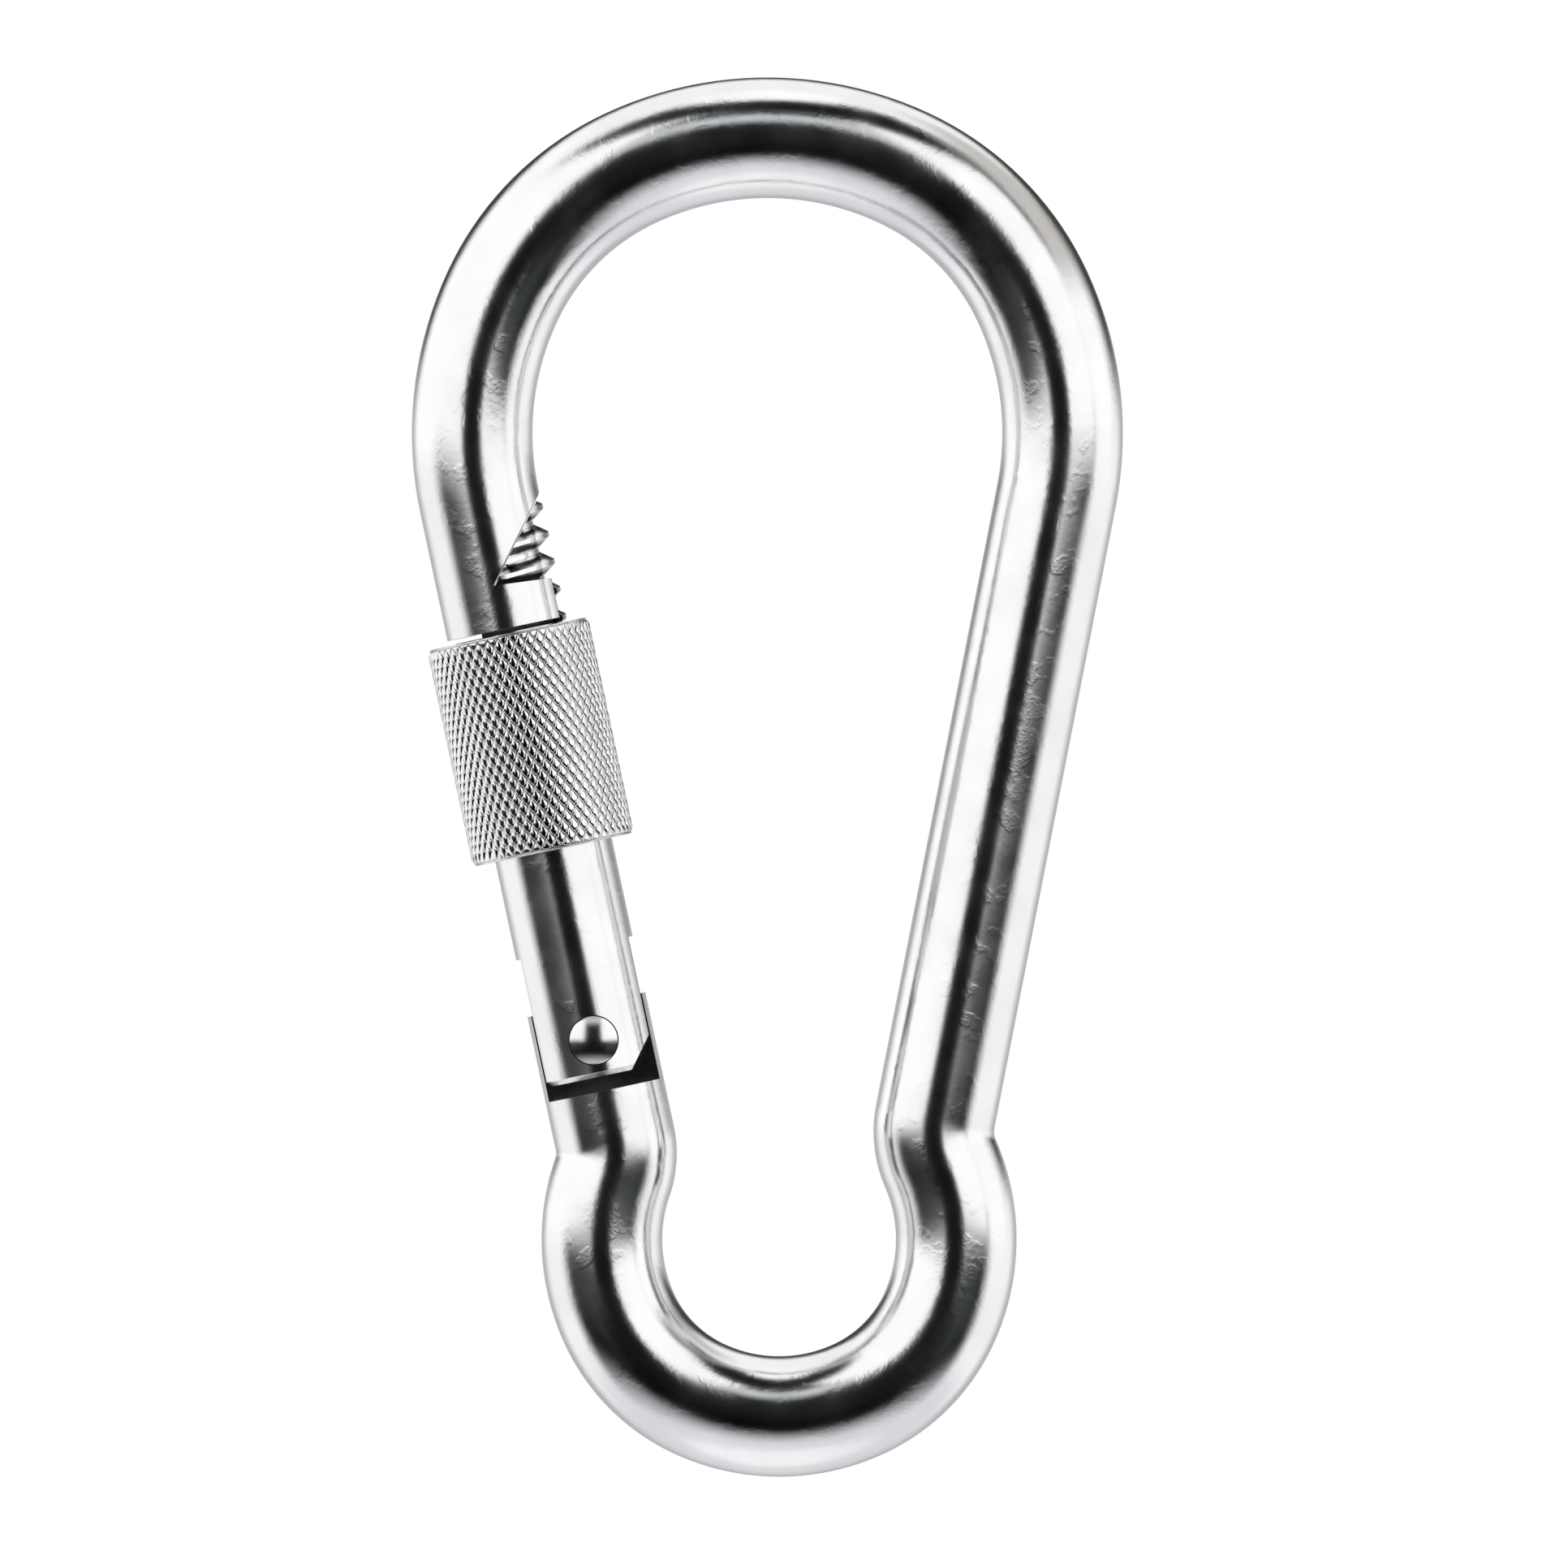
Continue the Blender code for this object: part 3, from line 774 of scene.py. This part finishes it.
    def cutters(self) -> list[BMesh]:
        """Make the cutters of the nose and the tang, in the gate's space.

        Returns:
            Notch, slot, dish, two flats and hole.
        """
        reach, rim, top = 2 * self.bar_radius, self.nose_rim, self.collar_top
        depth = reach - self.notch_corner
        low = rim - reach
        notch = [
            (self.notch_corner, top),
            (reach, top - depth * math.tan(self.collar_slope)),
            (reach, top + depth / math.tan(self.notch_angle)),
        ]
        slot = block((self.slot_floor, low), (reach, top + self.slot_over))
        dish = [(0.0, low), (reach, low), (reach, rim - self.dish), (0.0, rim + self.dish)]
        flat = block((-reach, -self.shoulder_drop), (reach, reach / 2))
        return [
            prism(notch, -reach, reach),
            prism(slot, -self.slot_half, self.slot_half),
            turned(dish, 96),
            prism(flat, -reach, -self.tang_half),
            prism(flat, self.tang_half, reach),
            cross_rod(self.hole_radius, -self.drill_half, self.drill_half),
        ]

    def build(self) -> None:
        """Bend the bar, mill its nose and tang, and plate it."""
        piece = placed(self.bar(), "hook_body_dressed", Matrix.Identity(4))
        work(piece, Cut.REMOVE, self.cutters(), self.hinge.matrix)
        enlist(piece, Body.HOOK, self.finish.material())


@dataclass
class Gate:
    """The gate: latch head, tongue, threaded shank and forked hinge end."""

    hinge: HingePlace
    thread: ScrewThread
    finish: ChromeFinish
    shank_radius: float = 0.0034
    cheek_drop: float = 0.0021
    cheek_edge: float = 0.00028
    shank_top: float = 0.012056
    shank_edge: float = 0.00015
    neck_undercut: float = 0.00011
    thread_bottom: float = 0.012356
    thread_top: float = 0.023761
    collar_top: float = 0.02655
    collar_slope: float = math.radians(4.0)
    notch_corner: float = -0.00023
    notch_angle: float = math.atan2(0.00368, 0.0047)
    latch_gap: float = 0.00008
    seat_gap: float = 0.0003
    head_top: float = 0.03095
    blank_top: float = 0.0313
    tongue_half: float = 0.0012
    tongue_edge: float = -0.00145
    slot_half: float = 0.0013
    slot_floor: float = 0.005353
    chamfer_start: float = 0.0017755
    chamfer_angle: float = math.radians(38.0)
    bore_radius: float = 0.00125
    bore_bottom: float = 0.002
    bore_top: float = 0.01185
    hole_radius: float = 0.0010
    seat_radius: float = 0.00144
    seat_height: float = 0.00305
    reach: float = 0.0069
    overcut: float = 0.0004
    tool_turn: float = 0.021

    def tongue_cutter(self) -> BMesh:
        """Cutter that leaves a flat tongue between the round thread and the latch head.

        Returns:
            The closed cutter, in the gate's space.
        """
        reach, half, edge = self.reach, self.tongue_half, self.tongue_edge
        outline = [
            (-reach, -reach), (reach, -reach), (reach, -half), (edge, -half),
            (edge, half), (reach, half), (reach, reach), (-reach, reach),
        ]
        shape = bmesh.new()
        base = shape.faces.new([shape.verts.new((x, y, self.thread_top)) for x, y in outline])
        grown = bmesh.ops.extrude_face_region(shape, geom=[base])["geom"]
        for corner in (item for item in grown if isinstance(item, BMVert)):
            fall = (corner.co.x - self.notch_corner) * math.tan(self.collar_slope)
            corner.co.z = self.collar_top + self.seat_gap - fall
        return shape

    def head_envelope(self) -> BMesh:
        """Outline that trims the latch head to the notch.

        Returns:
            The closed outline, in the gate's space.
        """
        slope, reach, top = math.tan(self.notch_angle), self.reach, self.head_top
        corner = self.notch_corner + self.latch_gap / math.cos(self.notch_angle)
        tongue_top = self.collar_top - self.seat_gap
        outline = [
            (-reach, self.thread_bottom),
            (reach, self.thread_bottom),
            (reach, top),
            (corner + (top - self.collar_top) * slope, top),
            (corner - self.seat_gap * slope, tongue_top),
            (-reach, tongue_top),
        ]
        return prism(outline, -reach, reach)

    def shank(self) -> BMesh:
        """Turn the shank, with a broken lower edge and a thinner root for the thread.

        Returns:
            The closed shank, in the gate's space.
        """
        radius, edge, drop = self.shank_radius, self.cheek_edge, self.cheek_drop
        neck = self.thread.root_radius - self.neck_undercut
        top = self.thread_bottom + self.thread.pitch
        outline = [
            (0.0, -drop), (radius - edge, -drop), (radius, -drop + edge),
            (radius, self.shank_top - self.shank_edge),
            (radius - self.shank_edge, self.shank_top),
            (neck, self.shank_top), (neck, top), (0.0, top),
        ]
        return turned(outline, 128)

    def fork_cutters(self) -> list[BMesh]:
        """Make the cutters of the fork, the spring's bore and the rivet's hole and seats.

        Returns:
            The closed cutters, in the gate's space.
        """
        reach, start, over = self.reach, self.chamfer_start, self.overcut
        rise = (reach - start) / math.tan(self.chamfer_angle)
        foot = start - over * (reach - start) / rise
        chamfer = [
            (foot, -self.cheek_drop - over),
            (foot, -reach),
            (reach, -reach),
            (reach, rise - self.cheek_drop),
        ]
        slot = block((-reach, -reach), (reach, self.slot_floor))
        return [
            prism(slot, -self.slot_half, self.slot_half),
            prism(chamfer, -reach, reach),
            rod(self.bore_radius, self.bore_bottom, self.bore_top),
            cross_rod(self.hole_radius, -reach, reach, self.tool_turn),
            cross_rod(self.seat_radius, self.seat_height, reach, self.tool_turn),
            cross_rod(self.seat_radius, -reach, -self.seat_height, self.tool_turn),
        ]

    def build(self) -> None:
        """Cut the thread and the head, join the shank, mill the fork and plate the gate."""
        place = self.hinge.matrix
        blank = self.thread.shape(self.thread_bottom, self.blank_top)
        piece = placed(blank, "gate_dressed", place)
        work(piece, Cut.REMOVE, [self.tongue_cutter()], place)
        work(piece, Cut.TRIM, [self.head_envelope()], place)
        work(piece, Cut.JOIN, [self.shank()], place)
        work(piece, Cut.REMOVE, self.fork_cutters(), place)
        enlist(piece, Body.GATE, self.finish.material(), math.radians(28.0))


@dataclass
class HingeRivet:
    """Rivet through the fork and the tang, with a low dome on each side."""

    hinge: HingePlace
    finish: ChromeFinish
    radius: float = 0.0009
    head_radius: float = 0.00137
    seat: float = 0.00315
    rim_height: float = 0.00008
    dome_height: float = 0.0003
    dome_steps: int = 10

    def build(self) -> None:
        """Turn the rivet, lay it across the gate and plate it."""
        ball = (self.head_radius**2 + self.dome_height**2) / (2 * self.dome_height)
        spread = math.asin(self.head_radius / ball)
        low = self.seat + self.rim_height
        dome = [
            (ball * math.sin(turn), low + self.dome_height - ball * (1 - math.cos(turn)))
            for turn in (spread * (1 - step / self.dome_steps) for step in range(self.dome_steps))
        ]
        foot = [(self.radius, self.seat), (self.head_radius, self.seat)]
        half = [*foot, *dome, (0.0, low + self.dome_height)]
        shape = turned([(r, -height) for r, height in reversed(half)] + half, 64)
        bmesh.ops.transform(shape, matrix=across(), verts=shape.verts)
        piece = placed(shape, "hinge_rivet_dressed", self.hinge.matrix)
        enlist(piece, Body.GATE, self.finish.material(), math.radians(40.0))


@dataclass
class LockingSleeve:
    """Knurled sleeve with a wide mouth, a nut thread and a groove for its ring."""

    hinge: HingePlace
    thread: ScrewThread
    finish: ChromeFinish
    bottom: float = 0.011106
    top: float = 0.023706
    tip_radius: float = 0.0047
    root_radius: float = 0.00453
    bore: float = 0.0037
    nut_bottom: float = 0.012356
    nut_top: float = 0.017482
    nut_blank: float = 0.002375
    groove_low: float = 0.011356
    groove_high: float = 0.012006
    groove_radius: float = 0.0042
    rim: float = 0.00011
    ease: float = 0.00004
    tap_clearance: tuple[float, float] = (0.00012, 0.0001)
    columns: int = 48
    rows: int = 12
    tooth_inset: float = 0.00016
    rim_tooth_share: float = 0.6
    tooth_steps: tuple[tuple[float, float], ...] = ((0.2, 0.6), (0.4, 0.29), (0.4, 0.11))

    def skin(self) -> BMesh:
        """Lay out the knurl's crossing lines and raise a domed tooth in each diamond.

        Returns:
            An open tube of teeth about local Z.
        """
        shape = bmesh.new()
        low, high = self.bottom + self.rim, self.top - self.rim
        ends = [shape.verts.new((self.root_radius, 0.0, z)) for z in (low, high)]
        line = shape.edges.new(ends)
        bmesh.ops.subdivide_edges(shape, edges=[line], cuts=self.rows - 1)
        spun(shape, self.columns)
        grid = [edge for edge in shape.edges if not edge.is_boundary]
        bmesh.ops.poke(shape, faces=shape.faces)
        bmesh.ops.dissolve_edges(shape, edges=grid, use_verts=False)
        for vert in shape.verts:
            vert.co.xy = vert.co.xy.normalized() * self.root_radius
        bmesh.ops.recalc_face_normals(shape, faces=shape.faces)
        sample = next(iter(shape.faces))
        if sample.normal.dot(sample.calc_center_median() * Vector((1.0, 1.0, 0.0))) < 0:
            bmesh.ops.reverse_faces(shape, faces=shape.faces)
        height = self.tip_radius - self.root_radius
        for corners, share in ((4, 1.0), (3, self.rim_tooth_share)):
            teeth = [face for face in shape.faces if len(face.verts) == corners]
            for draw, lift in self.tooth_steps:
                bmesh.ops.inset_individual(
                    shape,
                    faces=teeth,
                    thickness=self.tooth_inset * share * draw,
                    depth=height * share * lift,
                    use_even_offset=True,
                )
        return shape

    def wall(self, shape: BMesh) -> None:
        """Carry the skin's upper edge over the rim, down the bore and back to its lower edge.

        Args:
            shape: the open skin, which becomes a closed sleeve.
        """
        high, low, ease = self.top - self.rim, self.bottom + self.rim, self.ease
        root, bore, nut, groove = self.root_radius, self.bore, self.nut_blank, self.groove_radius
        stops = [
            (root + ease, high + ease), (root + ease, self.top - ease), (root, self.top),
            (bore + ease, self.top), (bore, self.top - ease),
            (bore, self.nut_top), (nut, self.nut_top),
            (nut, self.nut_bottom), (bore, self.nut_bottom),
            (bore, self.groove_high), (groove, self.groove_high),
            (groove, self.groove_low), (bore, self.groove_low),
            (bore, self.bottom + ease), (bore + ease, self.bottom),
            (root, self.bottom), (root + ease, self.bottom + ease),
            (root + ease, low - ease), (root, low),
        ]
        rim = [e for e in shape.edges if e.is_boundary and e.verts[0].co.z > (high + low) / 2]
        for radius, height in stops:
            grown = bmesh.ops.extrude_edge_only(shape, edges=rim)["geom"]
            rim = [item for item in grown if isinstance(item, BMEdge)]
            for vert in (item for item in grown if isinstance(item, BMVert)):
                vert.co.xy = vert.co.xy.normalized() * radius
                vert.co.z = height
        bmesh.ops.remove_doubles(shape, verts=shape.verts, dist=MERGE_DISTANCE)

    def build(self) -> None:
        """Knurl the sleeve, close its wall, tap its nut and plate it."""
        shape = self.skin()
        self.wall(shape)
        piece = placed(shape, "locking_sleeve_dressed", self.hinge.matrix)
        tap = self.thread.shape(self.nut_bottom, self.nut_top, *self.tap_clearance)
        work(piece, Cut.REMOVE, [tap], self.hinge.matrix)
        enlist(piece, Body.SLEEVE, self.finish.material(), math.radians(62.0))


@dataclass
class FrictionRing:
    """Rubber ring in the sleeve's lower groove."""

    hinge: HingePlace
    finish: RubberFinish
    height: float = 0.011681
    radius: float = 0.003875
    tube: float = 0.000225

    def build(self) -> None:
        """Mould the ring."""
        shape = coiled(self.tube, 20, (self.radius, self.height), 96)
        piece = placed(shape, "friction_ring_dressed", self.hinge.matrix)
        enlist(piece, Body.CARRIER, self.finish.material())


@dataclass
class SpringPlunger:
    """Plunger that the spring holds against the tang."""

    hinge: HingePlace
    finish: DrawnSteelFinish
    radius: float = 0.0011
    face: float = 0.00235
    back: float = 0.00695
    chamfer: float = 0.00015
    groove: float = 0.0001

    def build(self) -> None:
        """Turn the plunger, with broken edges and an oil groove round its middle."""
        middle, radius = (self.face + self.back) / 2, self.radius
        edge, groove = self.chamfer, self.groove
        outline = [
            (0.0, self.face), (radius - edge, self.face), (radius, self.face + edge),
            (radius, middle - 2 * groove), (radius - groove, middle - groove),
            (radius - groove, middle + groove), (radius, middle + 2 * groove),
            (radius, self.back - edge / 2), (radius - edge / 2, self.back), (0.0, self.back),
        ]
        piece = placed(turned(outline, 64), "spring_plunger_dressed", self.hinge.matrix)
        enlist(piece, Body.PLUNGER, self.finish.material())


@dataclass
class GateSpring:
    """Compression spring between the plunger and the end of its bore."""

    hinge: HingePlace
    finish: DrawnSteelFinish
    low: float = 0.00725
    high: float = 0.01155
    wire_radius: float = 0.000175
    outer_radius: float = 0.001025
    curls: int = 5
    steps: int = 48
    squashed: float = 0.605

    def build(self) -> None:
        """Coil the wire and close its ends."""
        wire, count = self.wire_radius, self.steps * self.curls
        rise = (self.high - self.low - 2 * wire) / count
        start = (self.outer_radius - wire, self.low + wire)
        shape = coiled(wire, 14, start, count, FULL_TURN * self.curls, rise)
        bmesh.ops.holes_fill(shape, edges=[edge for edge in shape.edges if edge.is_boundary])
        piece = placed(shape, "gate_spring_dressed", self.hinge.matrix)
        enlist(piece, Body.GATE, self.finish.material(), math.radians(45.0))
        axis, anchor = self.hinge.up, self.hinge.pivot + self.hinge.up * self.high
        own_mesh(piece)


# ---- Studio ----


@dataclass(frozen=True)
class SoftPanel:
    """A panel or flag of the light tent, seen only in the plating.

    Its azimuth is taken from the camera's side towards +X. Its edges are given in degrees left,
    right, below and above that aim, each with its own feather.
    """

    name: str
    colour: Colour
    azimuth: float
    edges: tuple[float, float, float, float]
    feathers: tuple[float, float, float, float]
    distance: float = 1.0

    def material(self) -> Material:
        """Build the panel's nodes: plain light that fades out at its edges.

        Returns:
            The material.
        """
        bench = NodeBench(bpy.data.materials.new(self.name))
        x, y, z = bench.add("SeparateXYZ", {0: bench.vector("NORMALIZE", bench.place())}).outputs
        azimuth = bench.math("ARCTAN2", x, bench.math("MULTIPLY", y, -1.0))
        elevation = bench.math("ARCSINE", z)
        share = 1.0
        for side, angle in enumerate((azimuth, azimuth, elevation, elevation)):
            edge, feather = math.radians(self.edges[side]), math.radians(self.feathers[side])
            out = bench.math("MULTIPLY", angle, 1.0 if side % 2 else -1.0)
            fade = bench.between(out, edge - feather, edge + feather, 1.0, 0.0)
            share = bench.math("MULTIPLY", share, fade)
        clear = bench.add("BsdfTransparent").outputs[0]
        glow = bench.add("Emission", {"Color": (*self.colour, 1.0), "Strength": 1.0}).outputs[0]
        return bench.show(bench.add("MixShader", {0: share, 1: clear, 2: glow}))

    def build(self, centre: Vector) -> Piece:
        """Spin the panel's patch of sphere and hang it round the hook.

        Args:
            centre: middle of the tent.

        Returns:
            The panel.
        """
        left, right, below, above = (
            math.radians(edge + feather) for edge, feather in zip(self.edges, self.feathers)
        )
        shape = bmesh.new()
        reach = self.distance
        foot = shape.verts.new((0.0, -reach * math.cos(below), -reach * math.sin(below)))
        bmesh.ops.spin(
            shape, geom=[foot], cent=ORIGIN, axis=(1, 0, 0), angle=-(below + above), steps=24
        )
        face = Matrix.Rotation(-left, 3, "Z")
        bmesh.ops.rotate(shape, verts=shape.verts, cent=ORIGIN, matrix=face)
        panel = placed(spun(shape, 48, left + right), self.name, Matrix.Identity(4))
        turn = Matrix.Rotation(math.radians(self.azimuth), 4, "Z")
        panel.matrix_world = Matrix.Translation(centre) @ turn
        panel.data.materials.append(self.material())
        for ray in ("camera", "diffuse", "shadow", "transmission", "volume_scatter"):
            setattr(panel, "visible_" + ray, False)
        return panel


@dataclass
class Studio:
    """Camera, pale floor, plain light and the tent of panels that the plating mirrors."""

    eye: Vector = field(default_factory=lambda: Vector((0.00095, -1.6, -0.0335)))
    lens: float = 642.5
    floor_height: float = -0.25
    floor_half: float = 3.0
    centre: Vector = field(default_factory=lambda: Vector((0.0, 0.0, -0.034)))

    def panels(self) -> list[SoftPanel]:
        """List the panels and flags, nearest first where they overlap.

        Returns:
            The panels.
        """
        white, black, grey = (1.12,) * 3, (0.001,) * 3, (0.20,) * 3
        low_left, low_right = (0.028, 0.027, 0.030), (0.030, 0.038, 0.034)
        beige, haze = (0.60, 0.58, 0.55), (0.78, 0.78, 0.82)
        flag, wall = (0.05, 0.05, 0.045), (0.50, 0.50, 0.52)
        rows = [
            ("streak", (0.62, 0.65, 0.66), -3, (17, 19, -33, 46), (7, 7, 7, 5), 0.78),
            ("front_flag", (0.003,) * 3, -2, (17, 17, 12, 54), (6, 5, 6, 4), 0.80),
            ("right_column", grey, 72, (7, 8, -30, 66), (6, 7, 10, 6), 0.82),
            ("left_box", white, -76, (58, 58, 2, 55), (16, 6, 5, 6), 0.84),
            ("right_box", white, 38, (23, 25, 2, 46), (5, 6, 4, 7), 0.84),
            ("right_low_box", white, 88, (21, 20, 4, 26), (6, 9, 5, 6), 0.84),
            ("low_left_glow", low_left, -46, (22, 18, 20, -6), (8, 10, 7, 5), 0.86),
            ("low_right_glow", low_right, 36, (12, 14, 22, -6), (8, 9, 8, 5), 0.86),
            ("low_dark", black, -4, (72, 70, 42, 4), (14, 12, 16, 3), 0.88),
            ("high_flag", black, 4, (84, 78, -51, 76), (22, 18, 5, 5), 0.88),
            ("beige_wall", beige, 108, (28, 28, -24, 62), (8, 12, 6, 8), 0.90),
            ("back_flag", flag, 180, (56, 56, -7, 34), (20, 20, 5, 8), 0.90),
            ("back_wall", wall, 180, (44, 44, 40, 30), (16, 16, 16, 12), 0.92),
            ("zenith_box", white, 0, (180, 180, -78, 95), (0.1, 0.1, 5, 1), 0.94),
            ("floor_haze", haze, 0, (180, 180, 68, -40), (0.1, 0.1, 8, 8), 0.94),
        ]
        return [SoftPanel(*row) for row in rows]

    def build_floor(self) -> Piece:
        """Lay the pale floor, which keeps the hook's shadow.

        Returns:
            The floor.
        """
        shape = bmesh.new()
        bmesh.ops.create_grid(shape, x_segments=2, y_segments=2, size=self.floor_half)
        floor = placed(shape, "floor", Matrix.Translation((0.0, 0.0, self.floor_height)))
        bench = NodeBench(bpy.data.materials.new("pale_floor"))
        mottle = bench.between(bench.noise(bench.place(), 14.0), 0.3, 0.7)
        paint = bench.blend(mottle, (0.92, 0.92, 0.92), (0.94, 0.94, 0.94))
        floor.data.materials.append(bench.surface(paint, Roughness=0.9))
        floor.visible_glossy = False
        return floor

    def light_world(self) -> None:
        """Fill the world with plain white, a little softer where it lights matt surfaces."""
        bench = NodeBench(bpy.data.worlds.new("white_room"))
        shown, lit = (
            bench.add("Background", {"Color": (1.0, 1.0, 1.0, 1.0), "Strength": strength})
            for strength in (1.0, 0.9)
        )
        rays = bench.add("LightPath").outputs
        seen = rays["Is Camera Ray"]
        for ray in ("Is Glossy Ray", "Is Transmission Ray"):
            seen = bench.math("MAXIMUM", seen, rays[ray])
        mix = bench.add("MixShader", {0: seen, 1: lit.outputs[0], 2: shown.outputs[0]})
        bpy.context.scene.world = bench.show(mix)

    def hang_lamp(self) -> None:
        """Hang one gentle lamp above, for the floor's shadow."""
        lamp = bpy.data.lights.new("top_lamp", "AREA")
        lamp.shape, lamp.size, lamp.energy = "DISK", 0.5, 1.2
        holder = bpy.data.objects.new("top_lamp", lamp)
        holder.location = (-0.15, -0.3, 0.7)
        holder.rotation_euler = (math.radians(23.0), math.radians(-12.0), 0.0)
        holder.visible_glossy = False
        bpy.context.scene.collection.objects.link(holder)

    def place_camera(self) -> None:
        """Stand the camera where the photograph was taken from."""
        lens = bpy.data.cameras.new("camera")
        lens.lens, lens.sensor_width, lens.sensor_fit = self.lens, 36.0, "HORIZONTAL"
        lens.clip_start, lens.clip_end = 0.01, 20.0
        camera = bpy.data.objects.new("camera", lens)
        camera.location = self.eye
        camera.rotation_euler = (QUARTER, 0.0, 0.0)
        bpy.context.scene.collection.objects.link(camera)
        bpy.context.scene.camera = camera

    def build(self) -> None:
        """Set the whole studio."""
        bpy.context.scene.view_settings.view_transform = "Standard"
        self.place_camera()
        self.light_world()
        self.hang_lamp()
        panels = [panel.build(self.centre) for panel in self.panels()]
        self.build_floor()
        LOG.info("studio: %d panels", len(panels))


def main() -> None:
    """Build the pieces in order, then the studio, and note the sizes."""
    logging.basicConfig(level=logging.INFO, format="%(name)s: %(message)s")
    bow = SquaredRing(Vector((0.0, 0.0, -0.01343)), 0.01688, 0.01517)
    loop = SquaredRing(Vector((0.00067, 0.0, -0.05953)), 0.01013, 0.00936)
    hinge = HingePlace(bow)
    thread = ScrewThread()
    # Zones of painted shade in the roots of the gate's thread and the sleeve's knurl.
    thread_roots = ThreadRoots(hinge.pivot, hinge.up, 0.0031, 0.00339, 0.0121)
    knurl_roots = ThreadRoots(hinge.pivot, hinge.up, 0.00452, 0.00456, 0.0)
    gate_chrome = ChromeFinish(
        "gate_chrome", peel_depth=0.0000015, fleck_share=0.58, roots=thread_roots
    )
    knurl_chrome = ChromeFinish(
        "knurl_chrome",
        roughness=(0.05, 0.08),
        fleck_depth=0.0000006,
        peel_depth=0.0000008,
        # Lighter painted shade in the knurl's valleys.
        root_shade_colour=(0.3, 0.3, 0.31),
        roots=knurl_roots,
    )
    rivet_chrome = ChromeFinish("rivet_chrome", roughness=(0.15, 0.20), fleck_depth=0.000002)
    plunger_steel = DrawnSteelFinish("plunger_steel", hinge.up)
    spring_steel = DrawnSteelFinish("spring_steel", hinge.up, (0.5, 0.5, 0.5), (0.3, 0.3, 0.31))
    for piece in (
        HookBody(bow, loop, hinge, ChromeFinish("bar_chrome")),
        Gate(hinge, thread, gate_chrome),
        HingeRivet(hinge, rivet_chrome),
        LockingSleeve(hinge, thread, knurl_chrome),
        FrictionRing(hinge, RubberFinish("ring_rubber")),
        SpringPlunger(hinge, plunger_steel),
        GateSpring(hinge, spring_steel),
        Studio(),
    ):
        piece.build()


if __name__ == "__main__":
    main()
